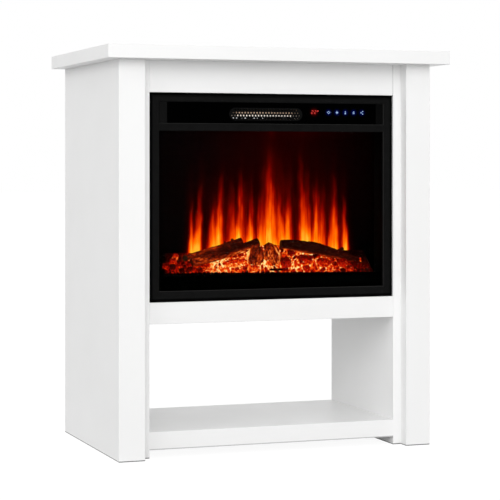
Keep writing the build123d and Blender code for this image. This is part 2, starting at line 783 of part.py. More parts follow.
# Spindle with rows of reflectors, turning between a bearing on the left wall and a motor on the right wall
bearing_face = spindle_bearing_length - inside_half
motor_face = inside_half - spindle_motor_length
spindle_grip = spindle_bearing_length - spindle_end_room
reflector_first = bearing_face + reflector_length
reflector_last = motor_face - reflector_length
vane_places = []
for group, group_x in enumerate(run(reflector_first, reflector_last, reflector_groups)):
    for vane in range(reflectors_per_group):
        vane_turn = group * reflector_twist + vane * 360 / reflectors_per_group
        vane_places.append(Location((group_x, spindle_y, spindle_z), (vane_turn, 0, 0)))

with BuildPart() as flame_spindle:
    rod_x((bearing_face - spindle_grip, motor_face + spindle_grip), spindle_y, spindle_z, spindle_radius)
    with Locations(vane_places):
        Box(reflector_length, reflector_thickness, reflector_reach,
            align=(Align.CENTER, Align.CENTER, Align.MIN))
keep(flame_spindle, "flame_spindle")

with BuildPart() as spindle_bearing:
    fill((-inside_half, bearing_face), around(spindle_y, spindle_bearing_size),
         around(spindle_z, spindle_bearing_size))
    rod_x((-inside_half, bearing_face), spindle_y, spindle_z,
          spindle_radius + running_clearance, Mode.SUBTRACT)
keep(spindle_bearing, "spindle_bearing")

with BuildPart() as spindle_motor:
    rod_x((motor_face, inside_half), spindle_y, spindle_z, spindle_motor_radius)
    fillet(spindle_motor.edges().sort_by(Axis.X)[0], sheet)
    rod_x((motor_face, motor_face + spindle_bearing_length), spindle_y, spindle_z,
          spindle_radius + running_clearance, Mode.SUBTRACT)
keep(spindle_motor, "spindle_motor")

# Lamp boards on the casing floor: one under the spindle, one under the embers
ember_middle = (ember_front + ember_back) / 2
for lamp_name, lamp_y in (("flame_lamp_board", spindle_y), ("ember_lamp_board", ember_middle)):
    with BuildPart() as lamp_board:
        board_half = ember_half - lamp_board_margin
        board_top = floor_z + circuit_board
        fill((-board_half, board_half), around(lamp_y, lamp_board_depth), (floor_z, board_top))
        lamp_pitch = 2 * (board_half - 2 * lamp_size) / (lamp_count - 1)
        with Locations((0, lamp_y, board_top + lamp_height / 2)):
            with GridLocations(lamp_pitch, 0, lamp_count, 1):
                Box(lamp_size, lamp_size, lamp_height)
    keep(lamp_board, lamp_name)

# Main switch in the back sheet: snap-in body and rocker
bezel_back = casing_back_y + bezel_thickness
pocket_half_x = rocker_body_width / 2 - rocker_wall
pocket_half_z = rocker_body_height / 2 - rocker_wall
with BuildPart() as rocker_body:
    body_front = casing_back_y - rocker_body_depth
    fill(around(rocker_x, rocker_body_width), (body_front, casing_back_y),
         around(control_z, rocker_body_height))
    fill(around(rocker_x, rocker_body_width + 2 * bezel_lip), (casing_back_y, bezel_back),
         around(control_z, rocker_body_height + 2 * bezel_lip))
    fill(around(rocker_x, 2 * pocket_half_x), (body_front + rocker_floor, bezel_back),
         around(control_z, 2 * pocket_half_z), Mode.SUBTRACT)
    rod_x(around(rocker_x, rocker_body_width), pivot_y, control_z,
          rocker_pin_radius + running_clearance, Mode.SUBTRACT)
keep(rocker_body, "rocker_body")

rocker_half_x = pocket_half_x - rocker_gap
tilt = radians(rocker_tilt)
with BuildPart() as power_rocker:
    with BuildSketch(Plane(origin=(rocker_x - rocker_half_x, pivot_y, control_z),
                           x_dir=(0, cos(tilt), sin(tilt)), z_dir=(1, 0, 0))):
        with BuildLine():
            Polyline((-rocker_root, -rocker_root_half), (-rocker_root, rocker_root_half),
                     (rocker_face, rocker_half_height), (rocker_face - rocker_dish, 0),
                     (rocker_face, -rocker_half_height), close=True)
        make_face()
    extrude(amount=2 * rocker_half_x)
    rod_x(around(rocker_x, 2 * pocket_half_x + rocker_wall), pivot_y, control_z, rocker_pin_radius)
keep(power_rocker, "power_rocker")

# Mains inlet beside the switch: a socket with two pins
with BuildPart() as power_inlet:
    inlet_front = casing_back_y - inlet_body_depth
    fill(around(inlet_x, inlet_width), (inlet_front, casing_back_y), around(control_z, inlet_height))
    fill(around(inlet_x, inlet_width + 2 * bezel_lip), (casing_back_y, bezel_back),
         around(control_z, inlet_height + 2 * bezel_lip))
    fill(around(inlet_x, inlet_width - 2 * inlet_wall), (inlet_front + inlet_floor, bezel_back),
         around(control_z, inlet_height - 2 * inlet_wall), Mode.SUBTRACT)
    for sign in (-1, 1):
        fill(around(inlet_x + sign * inlet_pin_spread / 2, inlet_pin_width), (inlet_front, casing_back_y),
             around(control_z, inlet_pin_height))
keep(power_inlet, "power_inlet")
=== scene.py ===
import json
import math
import random

import bmesh
import bpy
from mathutils import Matrix, Vector, kdtree, noise


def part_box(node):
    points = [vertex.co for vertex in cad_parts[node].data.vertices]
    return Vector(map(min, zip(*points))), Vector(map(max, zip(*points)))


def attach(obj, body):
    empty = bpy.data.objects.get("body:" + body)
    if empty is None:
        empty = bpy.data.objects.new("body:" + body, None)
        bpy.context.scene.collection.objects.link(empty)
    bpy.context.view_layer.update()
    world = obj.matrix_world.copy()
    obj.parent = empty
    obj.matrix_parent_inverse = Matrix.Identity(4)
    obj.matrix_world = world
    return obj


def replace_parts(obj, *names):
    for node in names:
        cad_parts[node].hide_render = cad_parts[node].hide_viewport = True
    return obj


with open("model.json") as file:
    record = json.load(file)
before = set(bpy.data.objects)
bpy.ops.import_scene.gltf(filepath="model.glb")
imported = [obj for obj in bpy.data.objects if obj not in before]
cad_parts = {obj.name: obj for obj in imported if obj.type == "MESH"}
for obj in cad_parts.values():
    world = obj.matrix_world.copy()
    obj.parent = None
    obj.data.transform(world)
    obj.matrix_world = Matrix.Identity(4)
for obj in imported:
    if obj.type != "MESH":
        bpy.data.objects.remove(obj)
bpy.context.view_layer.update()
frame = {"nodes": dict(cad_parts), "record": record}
cadNodes = frame["nodes"]
slotOfNode = {row["node"]: row["material_slot"] for row in frame["record"]["subparts"]}
mm = 0.001
mainBody = "fireplace"
print("frame loaded:", len(cadNodes), "nodes")


def newObject(name, data):
    made = bpy.data.objects.new(name, data)
    bpy.context.scene.collection.objects.link(made)
    return made


def newMesh(name, points, faces, **pointValues):
    mesh = bpy.data.meshes.new(name)
    mesh.from_pydata(points, [], faces)
    for valueName, values in pointValues.items():
        mesh.attributes.new(valueName, "FLOAT", "POINT").data.foreach_set("value", values)
    return mesh


# A level camera to the left of the middle, its lens shifted down to frame the whole mantel
viewpoint = {
    "place": (-1.2354, -3.4275, 0.5586), "turn": -19.954, "lens": 129.53, "sensor": 36, "shift": -0.1733,
}

cameraData = bpy.data.cameras.new("photoCamera")
cameraData.lens = viewpoint["lens"]
cameraData.sensor_width = viewpoint["sensor"]
cameraData.shift_y = viewpoint["shift"]
camera = newObject("photoCamera", cameraData)
camera.location = viewpoint["place"]
camera.rotation_euler = (math.radians(90), 0, math.radians(viewpoint["turn"]))
bpy.context.scene.camera = camera
bpy.context.scene.view_settings.view_transform = "Standard"


# Small helpers for node trees: a value is either a number or the socket of another node
noiseLow, noiseHigh = 0.3, 0.7  # nearly all of a noise texture lies between these


def treeOf(*values):
    return next(value.id_data for value in values if isinstance(value, bpy.types.NodeSocket))


def addNode(tree, kind, **settings):
    node = tree.nodes.new("ShaderNode" + kind)
    for setting, value in settings.items():
        setattr(node, setting, value)
    return node


def feed(node, **values):
    for name, value in values.items():
        socket = node.inputs[int(name[1:])] if name[1:].isdigit() else node.inputs[name.replace("_", " ")]
        if isinstance(value, bpy.types.NodeSocket):
            node.id_data.links.new(value, socket)
        else:
            socket.default_value = value
    return node


def sums(operation, first, second=0.0, clamp=False):
    node = addNode(treeOf(first, second), "Math", operation=operation, use_clamp=clamp)
    return feed(node, i0=first, i1=second).outputs[0]


def plus(first, second):
    return sums("ADD", first, second)


def minus(first, second):
    return sums("SUBTRACT", first, second)


def times(first, second):
    return sums("MULTIPLY", first, second)


def offFrom(value, middle, size):
    return sums("DIVIDE", minus(value, middle), size)


def fadeOut(value, rate):
    return sums("EXPONENT", times(value, -rate))


def spread(value, low, high, toLow=0.0, toHigh=1.0, smooth=False):
    node = addNode(treeOf(value), "MapRange", interpolation_type="SMOOTHSTEP" if smooth else "LINEAR")
    return feed(node, i0=value, i1=low, i2=high, i3=toLow, i4=toHigh).outputs[0]


def fromNoise(value, toLow, toHigh):
    return spread(value, noiseLow, noiseHigh, toLow, toHigh)


def ramp(value, stops):
    node = addNode(treeOf(value), "ValToRGB")
    band = node.color_ramp.elements
    while len(band) < len(stops):
        band.new(0.5)
    for element, (place, colour) in zip(band, stops):
        element.position = place
        element.color = (*colour, 1)
    return feed(node, Fac=value).outputs["Color"]


def blendColour(share, first, second, kind="MIX"):
    mix = addNode(treeOf(share, first, second), "MixRGB", blend_type=kind)
    return feed(mix, Fac=share, Color1=first, Color2=second).outputs[0]


def places(tree, scale=(1, 1, 1)):
    spot = addNode(tree, "TexCoord").outputs["Object"]
    return feed(addNode(tree, "Mapping"), Vector=spot, Scale=scale).outputs["Vector"]


def axes(where):
    return feed(addNode(treeOf(where), "SeparateXYZ"), Vector=where).outputs


def painted(tree, name):
    return addNode(tree, "Attribute", attribute_name=name).outputs["Fac"]


def grain(where, size, detail=2.0, rough=0.5):
    node = addNode(treeOf(where), "TexNoise")
    return feed(node, Vector=where, Scale=1 / size, Detail=detail, Roughness=rough).outputs["Fac"]


def grey(tone):
    return (tone, tone, tone)


def newFinish(name, colour, rough, specular=0.5, metallic=0.0):
    finish = bpy.data.materials.new(name)
    finish.use_nodes = True
    tree = finish.node_tree
    shader = tree.nodes["Principled BSDF"]
    feed(shader, Base_Color=(*colour, 1), Roughness=rough, Metallic=metallic, Specular_IOR_Level=specular)
    return finish, tree, shader


def toned(value, dark, light):
    return ramp(value, [(noiseLow, dark), (noiseHigh, light)])


def tint(shader, value, dark, light):
    feed(shader, Base_Color=toned(value, dark, light))


def relief(shader, height, depth):
    bump = feed(addNode(shader.id_data, "Bump"), Height=height, Distance=depth, Strength=1.0)
    feed(shader, Normal=bump.outputs["Normal"])


def shine(shader, heat, look):
    feed(shader, Emission_Color=ramp(heat, look["colours"]), Emission_Strength=look["strength"])


# Studio: a white floor and a white surround that the camera, glass and metal see, with plain soft lamps
studio = {
    "white": (1, 1, 1, 1),
    "ambient": 0.68,
    "surround": 1.0,
    "floorSize": 60.0,
    "floorZ": -0.0002,
    "floorTone": 0.5,
    "floorGlow": 0.93,
    "floorShade": 0.14,
    "lamps": {
        "keySoftbox": {"place": (-3.5, -9.0, 4.0), "size": 6.0, "power": 312},
        "lowSoftbox": {"place": (0.6, -9.5, 1.8), "size": 6.0, "power": 165},
        "sideSoftbox": {"place": (-9.0, -4.0, 4.4), "size": 6.0, "power": 216},
    },
    "aim": (0.0, 0.0, 0.4),
}


def seenDirectly(tree):
    path = addNode(tree, "LightPath").outputs
    either = plus(path["Is Camera Ray"], path["Is Glossy Ray"])
    return sums("ADD", either, path["Is Transmission Ray"], clamp=True)


def showBoth(tree, lighting, seen, output):
    choice = addNode(tree, "MixShader")
    feed(choice, i0=seenDirectly(tree), i1=lighting.outputs[0], i2=seen.outputs[0])
    feed(addNode(tree, output), Surface=choice.outputs[0])


def emptyTree(owner):
    owner.use_nodes = True
    owner.node_tree.nodes.clear()
    return owner.node_tree


def buildSurround():
    world = bpy.data.worlds.new("studioWhite")
    bpy.context.scene.world = world
    tree = emptyTree(world)
    lighting = feed(addNode(tree, "Background"), Color=studio["white"], Strength=studio["ambient"])
    seen = feed(addNode(tree, "Background"), Color=studio["white"], Strength=studio["surround"])
    showBoth(tree, lighting, seen, "OutputWorld")


def buildFloor():
    half = studio["floorSize"] / 2
    corners = [(x * half, y * half, studio["floorZ"]) for x, y in ((-1, -1), (1, -1), (1, 1), (-1, 1))]
    floorMesh = newMesh("studioFloor", corners, [(0, 1, 2, 3)])
    floor = newObject("studioFloor", floorMesh)
    paper = bpy.data.materials.new("studioPaper")
    tree = emptyTree(paper)
    plain = feed(addNode(tree, "BsdfDiffuse"), Color=(*grey(studio["floorTone"]), 1))
    shade = feed(addNode(tree, "BsdfDiffuse"), Color=(*grey(studio["floorShade"]), 1))
    glow = feed(addNode(tree, "Emission"), Color=studio["white"], Strength=studio["floorGlow"])
    bright = feed(addNode(tree, "AddShader"), i0=shade.outputs[0], i1=glow.outputs[0])
    showBoth(tree, plain, bright, "OutputMaterial")
    floorMesh.materials.append(paper)


def buildLamps():
    for name, lamp in studio["lamps"].items():
        lampData = bpy.data.lights.new(name, "AREA")
        lampData.shape = "DISK"
        lampData.size = lamp["size"]
        lampData.energy = lamp["power"]
        lampObject = newObject(name, lampData)
        lampObject.location = lamp["place"]
        aim = Vector(studio["aim"]) - Vector(lamp["place"])
        lampObject.rotation_euler = aim.to_track_quat("-Z", "Y").to_euler()


buildSurround()
buildFloor()
buildLamps()
print("camera and studio set")


# White lacquer of the boards. Those on the floor and the bottom shelf have a painted shade line along their
# lower edge, and a painted shadow marks the butt joint at the end of the fascia as a fine line
lacquer = {
    "dark": (0.87, 0.87, 0.866), "light": (0.89, 0.89, 0.888), "cloudSize": 0.3,
    "rough": (0.34, 0.46), "sheenSize": 0.05, "peelSize": 0.004, "peelDeep": 0.00001,
    # joint colour and width: a painted shadow in the butt joint at the fascia's end
    "joint": grey(0.42), "jointShadowWide": 0.0012, "lineSoft": 0.0002,
    # foot colours and height: a painted shade line along the lower edges of the boards
    "foot": grey(0.13), "shelfShadeLine": grey(0.5), "shadeLineTall": 0.002,
}


def whiteLacquer(name, shadeLineZ=0.0, foot="foot", jointShadowX=None):
    finish, tree, shader = newFinish(name, grey(0.88), 0.4)
    where = places(tree)
    spot = axes(where)
    coat = toned(grain(where, lacquer["cloudSize"]), lacquer["dark"], lacquer["light"])
    # painted shade: a dark line along the lower edge of the board, up to a small height
    shadeLineTop = shadeLineZ + lacquer["shadeLineTall"]
    low = spread(spot["Z"], shadeLineTop, shadeLineTop - lacquer["lineSoft"])
    coat = blendColour(low, coat, (*lacquer[foot], 1))
    # painted shadow: a fine dark line in the butt joint at the board's end
    if jointShadowX is not None:
        start = jointShadowX - lacquer["jointShadowWide"]
        near = spread(spot["X"], start, start + lacquer["lineSoft"])
        coat = blendColour(near, coat, (*lacquer["joint"], 1))
    sheen = grain(where, lacquer["sheenSize"], 3)
    feed(shader, Base_Color=coat, Roughness=fromNoise(sheen, *lacquer["rough"]))
    relief(shader, grain(where, lacquer["peelSize"]), lacquer["peelDeep"])
    return finish


# Bare timber of the battens under the top board, its grain drawn out along X
timber = {
    "dark": (0.42, 0.25, 0.11), "light": (0.64, 0.46, 0.26), "stretch": (0.12, 1, 1),
    "ringSize": 0.006, "poreSize": 0.0015, "poreDeep": 0.0002,
}


def plainTimber():
    finish, tree, shader = newFinish("plainTimber", (0.55, 0.38, 0.2), 0.62, 0.3)
    lengthwise = places(tree, timber["stretch"])
    tint(shader, grain(lengthwise, timber["ringSize"], 4, 0.6), timber["dark"], timber["light"])
    relief(shader, grain(lengthwise, timber["poreSize"]), timber["poreDeep"])
    return finish


# Black paint, plastic and rubber: patchy in tone and sheen, with a fine speck
blackCoat = {"patchSize": 0.02, "sheenSize": 0.012, "speckDeep": 0.00006}


def mattBlack(name, dark, light, rough, specular, speckSize=0.0008):
    finish, tree, shader = newFinish(name, dark, sum(rough) / 2, specular)
    where = places(tree)
    tint(shader, grain(where, blackCoat["patchSize"], 3), dark, light)
    feed(shader, Roughness=fromNoise(grain(where, blackCoat["sheenSize"], 3), *rough))
    relief(shader, grain(where, speckSize), blackCoat["speckDeep"])
    return finish


# Insert frame: a painted highlight on edges that face up or left; painted shade, near black, on its outer lip
# and deep sides
frameLow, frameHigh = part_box("front_frame")
frameLook = {
    "dark": grey(0.003), "light": grey(0.0044), "rough": (0.45, 0.6), "specular": 0.035,
    "paintedHighlight": (0.016, 0.016, 0.0155), "highlightFrom": (0.35, 0.6), "leftShare": 0.8,
    "paintedShade": grey(0.0004), "edgeDeep": 0.0012, "soft": 0.0006,
    "lipLeft": 0.0034, "lipTop": 0.0046, "lipRight": 0.002,
}


def frameBlack():
    look = frameLook
    finish = mattBlack("blackFrame", look["dark"], look["light"], look["rough"], look["specular"])
    tree = finish.node_tree
    shader = tree.nodes["Principled BSDF"]
    facing = axes(addNode(tree, "TexCoord").outputs["Normal"])
    spot = axes(places(tree))
    # painted highlight on the edges that face up or left
    paintedHighlight = minus(facing["Z"], times(facing["X"], look["leftShare"]))
    face = shader.inputs["Base Color"].links[0].from_socket
    colour = blendColour(spread(paintedHighlight, *look["highlightFrom"]), face, (*look["paintedHighlight"], 1))
    soft = look["soft"]
    # painted shade: the outer lip and the deep sides are near black
    edges = [
        ("Y", frameLow.y + look["edgeDeep"], soft), ("X", frameLow.x + look["lipLeft"], -soft),
        ("X", frameHigh.x - look["lipRight"], soft), ("Z", frameHigh.z - look["lipTop"], soft),
    ]
    beyond = [spread(spot[axis], edge, edge + past) for axis, edge, past in edges]
    paintedShade = beyond[0]
    for share in beyond[1:]:
        paintedShade = sums("MAXIMUM", paintedShade, share)
    feed(shader, Base_Color=blendColour(paintedShade, colour, (*look["paintedShade"], 1)))
    return finish


# Window glass, smoked and very slightly smeared
glass = {
    "tone": grey(0.35), "specular": 0.05, "bending": 1.03,
    "smearStretch": (1, 1, 0.5), "smearSize": 0.07, "smearFrom": (0.45, 0.75), "smearRough": (0.0, 0.012),
}


def smokedGlass():
    finish, tree, shader = newFinish("smokedGlass", glass["tone"], 0.0, glass["specular"])
    feed(shader, Transmission_Weight=1.0, IOR=glass["bending"])
    smears = grain(places(tree, glass["smearStretch"]), glass["smearSize"], 4)
    feed(shader, Roughness=spread(smears, *glass["smearFrom"], *glass["smearRough"]))
    return finish


# Galvanised sheet of the duct, the fan housing and the flame spindle, with the spangle of its zinc
zinc = {"dark": (0.42, 0.43, 0.44), "light": (0.58, 0.59, 0.6), "rough": (0.42, 0.62), "spangleScale": 140.0}


def brightSheet():
    finish, tree, shader = newFinish("brightSheet", (0.6, 0.61, 0.62), 0.4, metallic=1.0)
    spangle = feed(addNode(tree, "TexVoronoi"), Vector=places(tree), Scale=zinc["spangleScale"])
    tone = feed(addNode(tree, "RGBToBW"), Color=spangle.outputs["Color"]).outputs[0]
    tint(shader, tone, zinc["dark"], zinc["light"])
    feed(shader, Roughness=spread(tone, 0.0, 1.0, *zinc["rough"]))
    return finish


# Drawn steel of the motors, the cut-out and the screws
drawnSteel = {"lineSize": 0.002, "lineDeep": 0.00003, "rough": (0.24, 0.42)}


def steel(name, dark, light, stretch):
    finish, tree, shader = newFinish(name, dark, 0.35, metallic=1.0)
    lines = grain(places(tree, stretch), drawnSteel["lineSize"], 3)
    tint(shader, lines, dark, light)
    feed(shader, Roughness=fromNoise(lines, *drawnSteel["rough"]))
    relief(shader, lines, drawnSteel["lineDeep"])
    return finish


# Heating element: its windings stop short of both ends, and carry a painted glow, warm above the seam and
# white below it
element = {
    "dark": (0.6, 0.46, 0.32), "light": (0.85, 0.74, 0.58), "ribScale": 100.0, "ribWobble": 0.4,
    "left": -0.065, "right": 0.047, "soft": 0.004, "endGlow": 0.08, "glow": (0.2, 0.64),
    "seam": 0.6543, "seamSoft": 0.001, "upper": (1.0, 0.66, 0.46), "lower": (1.0, 0.92, 0.84),
    "lowerGain": 1.9,
}


def elementCeramic():
    finish, tree, shader = newFinish("elementCeramic", (0.8, 0.68, 0.52), 0.6, 0.3)
    wave = addNode(tree, "TexWave", bands_direction="X")
    feed(wave, Vector=places(tree), Scale=element["ribScale"], Distortion=element["ribWobble"])
    ribs = wave.outputs["Fac"]
    spot = axes(places(tree))
    left, right, soft = element["left"], element["right"], element["soft"]
    wound = times(spread(spot["X"], left - soft, left, element["endGlow"]),
                  spread(spot["X"], right + soft, right, element["endGlow"]))
    paintedGlow = spread(ribs, 0.0, 1.0, *element["glow"])
    upper = spread(spot["Z"], element["seam"] - element["seamSoft"], element["seam"] + element["seamSoft"])
    gain = spread(upper, 0.0, 1.0, element["lowerGain"], 1.0)
    warmth = blendColour(upper, (*element["lower"], 1), (*element["upper"], 1))
    # painted glow on the windings
    feed(shader, Emission_Color=warmth, Emission_Strength=times(times(paintedGlow, wound), gain))
    tint(shader, ribs, element["dark"], element["light"])
    return finish


nylon = {"dark": (0.74, 0.72, 0.66), "light": (0.84, 0.83, 0.78), "patchSize": 0.006}


def bearingNylon():
    finish, tree, shader = newFinish("bearingNylon", (0.8, 0.78, 0.72), 0.45)
    tint(shader, grain(places(tree), nylon["patchSize"], 3), nylon["dark"], nylon["light"])
    return finish


# Circuit boards: green fields with lighter tracks between them
circuit = {
    "fields": ((0.014, 0.1, 0.04), (0.02, 0.13, 0.055)), "track": (0.1, 0.3, 0.14), "trackWide": 0.03,
    "trackDeep": 0.00004, "scale": 90.0, "offset": 0.37, "squash": 0.7,
}


def circuitGreen():
    finish, tree, shader = newFinish("circuitGreen", (0.02, 0.12, 0.05), 0.35)
    dark, light = circuit["fields"]
    tracks = addNode(tree, "TexBrick", offset=circuit["offset"], squash=circuit["squash"])
    feed(tracks, Vector=places(tree), Scale=circuit["scale"], Mortar_Size=circuit["trackWide"])
    feed(tracks, Color1=(*dark, 1), Color2=(*light, 1), Mortar=(*circuit["track"], 1))
    feed(shader, Base_Color=tracks.outputs["Color"])
    relief(shader, tracks.outputs["Fac"], circuit["trackDeep"])
    return finish


# Control pane: gloss black, with the faint painted halo of light that each lit symbol and the reading leave
# in it
pane = {
    "black": (0.0003, 0.0003, 0.00035), "haloFade": 3.0, "haloGlow": 0.3,
    "smearSize": 0.03, "smearFrom": (0.4, 0.8), "smearRough": (0.03, 0.09),
}
symbols = {
    "kinds": ("eye", "sun", "thermometer", "timer", "branch"),
    "firstX": 0.1154, "pitch": 0.0178, "z": 0.6585, "half": 0.003, "stroke": 0.0007, "lift": 0.00015,
    "core": (0.48, 0.7, 1.0), "coreGlow": 0.95, "haloSize": 0.0068, "haloColour": (0.0, 0.02, 0.42),
}
reading = {
    "text": "22", "left": 0.0786, "low": 0.6558, "digitWide": 0.0036, "digitTall": 0.0062, "gap": 0.0026,
    "stroke": 0.0008, "slant": 0.14, "trim": 0.1, "colour": (1.0, 0.07, 0.06), "glow": 0.95,
    "degreeOff": 0.0016, "degreeHigh": 0.85, "degreeRadius": 0.0011, "degreeStroke": 0.0007,
    "degreeSides": 10, "haloSize": 0.009, "haloColour": (0.25, 0.0, 0.0),
}


def symbolX(index):
    return symbols["firstX"] + index * symbols["pitch"]


def halo(spot, middleX, middleZ, size):
    offX = offFrom(spot["X"], middleX, size)
    offZ = offFrom(spot["Z"], middleZ, size)
    return fadeOut(plus(times(offX, offX), times(offZ, offZ)), pane["haloFade"])


def controlGloss():
    finish, tree, shader = newFinish("controlGloss", pane["black"], 0.05, 0.0)
    where = places(tree)
    smears = grain(where, pane["smearSize"], 4)
    feed(shader, Roughness=spread(smears, *pane["smearFrom"], *pane["smearRough"]))
    spot = axes(where)
    symbolLight = 0.0
    for index in range(len(symbols["kinds"])):
        symbolLight = plus(symbolLight, halo(spot, symbolX(index), symbols["z"], symbols["haloSize"]))
    readingX = reading["left"] + reading["digitWide"] + reading["gap"]
    readingZ = reading["low"] + reading["digitTall"] / 2
    readingLight = halo(spot, readingX, readingZ, reading["haloSize"])
    blue = blendColour(1.0, (*symbols["haloColour"], 1), symbolLight, "MULTIPLY")
    red = blendColour(1.0, (*reading["haloColour"], 1), readingLight, "MULTIPLY")
    feed(shader, Emission_Color=blendColour(1.0, blue, red, "ADD"), Emission_Strength=pane["haloGlow"])
    return finish


# Flame screen: tongues of light thrown on it from behind. Places across and heights are in mm.
# A tongue is where its foot and its tip are, its top, its width and its heat.
# A noise is its scale in height, its size in metres and its detail
fireMiddle = -2.4  # the fire as a whole sits a touch to the left of the middle of the window
flames = {
    "foot": 372.0,
    "tongues": [
        (-143, -144, 505, 6.0, 1.0), (-133, -122, 530, 8.0, 1.2), (-104, -97, 505, 8.0, 0.8),
        (-89, -80, 565, 9.0, 1.05), (-69, -66, 520, 6.0, 0.17), (-58, -60, 545, 8.0, 0.66),
        (-47, -39, 560, 8.5, 1.08), (-32, -30, 560, 6.0, 0.3), (-22, -18, 508, 7.8, 1.3),
        (-4, 3, 512, 7.0, 0.82), (9, 10, 575, 8.0, 0.44), (21, 19, 605, 11.0, 1.0), (31, 28, 585, 7.0, 0.3),
        (44, 40, 525, 8.0, 0.86), (56, 62, 530, 9.0, 0.98), (94, 85, 590, 9.0, 1.06),
        (103, 100, 575, 7.5, 0.6), (119, 120, 548, 8.5, 0.92), (132, 134, 540, 7.0, 0.6),
        (148, 151, 490, 5.0, 0.56), (160, 158, 550, 8.5, 1.04), (182, 179, 510, 6.5, 1.08),
    ],
    "tipWidth": 3.0, "fade": 1.5, "edgePower": 2.4, "edgeFade": 0.8,
    "plume": 0.14, "plumeRise": 60.0, "plumeFade": 0.25,
    "sway": 6.0, "ripple": 2.2, "footSway": 0.25, "fullSway": 120,
    "noises": {
        "swing": (0.55, 0.022, 1.5), "quiver": (0.3, 0.008, 1.5), "wisps": (0.12, 0.012, 3),
        "strands": (0.05, 0.0035, 2), "licks": (0.28, 0.014, 2),
    },
    "wispHeat": (0.45, 1.3), "strandFrom": (0.25, 0.75), "strandHeat": (0.66, 1.04), "lickHeat": (0.8, 1.12),
    "veil": {"left": -112.0, "right": 184.0, "soft": 26.0, "high": 545.0, "heat": 0.18},
    "glows": [
        {"middle": 40.0, "across": 115.0, "from": (400.0, 0.0), "to": (520.0, 0.05)},
        {"middle": 30.0, "across": 26.0, "from": (500.0, 0.085), "to": (610.0, 0.012)},
        {"middle": 80.0, "across": 95.0, "from": (600.0, 0.0), "to": (628.0, 0.04)},
    ],
    "colours": [
        (0.0, (0.0, 0.0, 0.0)), (0.07, (0.013, 0.0, 0.0)), (0.18, (0.08, 0.0004, 0.0)),
        (0.32, (0.28, 0.002, 0.0)), (0.47, (0.62, 0.02, 0.0)), (0.62, (0.97, 0.085, 0.0)),
        (0.8, (1.0, 0.24, 0.002)), (1.0, (1.0, 0.47, 0.025)),
    ],
    "strength": 2.9,
}


def flameNoise(tree, kind):
    upScale, size, detail = flames["noises"][kind]
    return grain(places(tree, (1, 1, upScale)), size, detail)


def flameTongue():
    group = bpy.data.node_groups.new("flameTongue", "ShaderNodeTree")
    for name in ("across", "up", "foot", "tip", "base", "top", "width", "heat"):
        group.interface.new_socket(name, in_out="INPUT", socket_type="NodeSocketFloat")
    group.interface.new_socket("light", in_out="OUTPUT", socket_type="NodeSocketFloat")
    given = group.nodes.new("NodeGroupInput").outputs
    rise = spread(given["up"], given["base"], given["top"])
    middle = spread(rise, 0.0, 1.0, given["foot"], given["tip"])
    slim = spread(rise, 0.0, 1.0, given["width"], flames["tipWidth"])
    off = offFrom(given["across"], middle, slim)
    edge = sums("POWER", sums("ABSOLUTE", off), flames["edgePower"])
    fade = sums("POWER", minus(1.0, rise), flames["fade"])
    body = times(fadeOut(edge, flames["edgeFade"]), fade)
    # a thin plume stands on above the tongue itself
    plumeTop = plus(given["top"], flames["plumeRise"])
    thin = spread(given["up"], given["base"], plumeTop, flames["plume"], 0.0)
    plume = times(fadeOut(times(off, off), flames["plumeFade"]), thin)
    light = times(plus(body, plume), given["heat"])
    group.links.new(light, group.nodes.new("NodeGroupOutput").inputs[0])
    return group


def flameVeil(tree, acrossX, upZ):
    veil = flames["veil"]
    left = spread(acrossX, veil["left"] - veil["soft"], veil["left"] + veil["soft"], smooth=True)
    right = spread(acrossX, veil["right"] + veil["soft"] / 2, veil["right"] - veil["soft"], smooth=True)
    low = spread(upZ, flames["foot"], veil["high"], veil["heat"], 0.0)
    wisps = fromNoise(flameNoise(tree, "wisps"), *flames["wispHeat"])
    total = times(times(left, right), times(low, wisps))
    for glow in flames["glows"]:
        off = offFrom(acrossX, glow["middle"], glow["across"])
        (startZ, startHeat), (endZ, endHeat) = glow["from"], glow["to"]
        rise = spread(upZ, startZ, endZ, startHeat, endHeat)
        total = plus(total, times(fadeOut(times(off, off), 1.0), rise))
    return total


def flameAcrylic():
    finish, tree, shader = newFinish("flameAcrylic", grey(0.0004), 0.3, 0.004)
    spot = axes(places(tree, grey(1 / mm)))
    upZ = spot["Z"]
    drift = times(minus(flameNoise(tree, "swing"), 0.5), flames["sway"] * 2)
    quiver = times(minus(flameNoise(tree, "quiver"), 0.5), flames["ripple"] * 2)
    calm = spread(upZ, flames["foot"], flames["foot"] + flames["fullSway"], flames["footSway"], 1.0)
    bend = times(plus(drift, quiver), calm)
    acrossX = plus(minus(spot["X"], fireMiddle), bend)
    group = flameTongue()
    total = flameVeil(tree, acrossX, upZ)
    for foot, tip, top, width, heat in flames["tongues"]:
        tongue = addNode(tree, "Group", node_tree=group)
        feed(tongue, across=acrossX, up=upZ, foot=foot, tip=tip, base=flames["foot"])
        feed(tongue, top=top, width=width, heat=heat)
        total = plus(total, tongue.outputs[0])
    strands = spread(flameNoise(tree, "strands"), *flames["strandFrom"], *flames["strandHeat"])
    licks = fromNoise(flameNoise(tree, "licks"), *flames["lickHeat"])
    shine(shader, times(times(total, strands), licks), flames)
    return finish


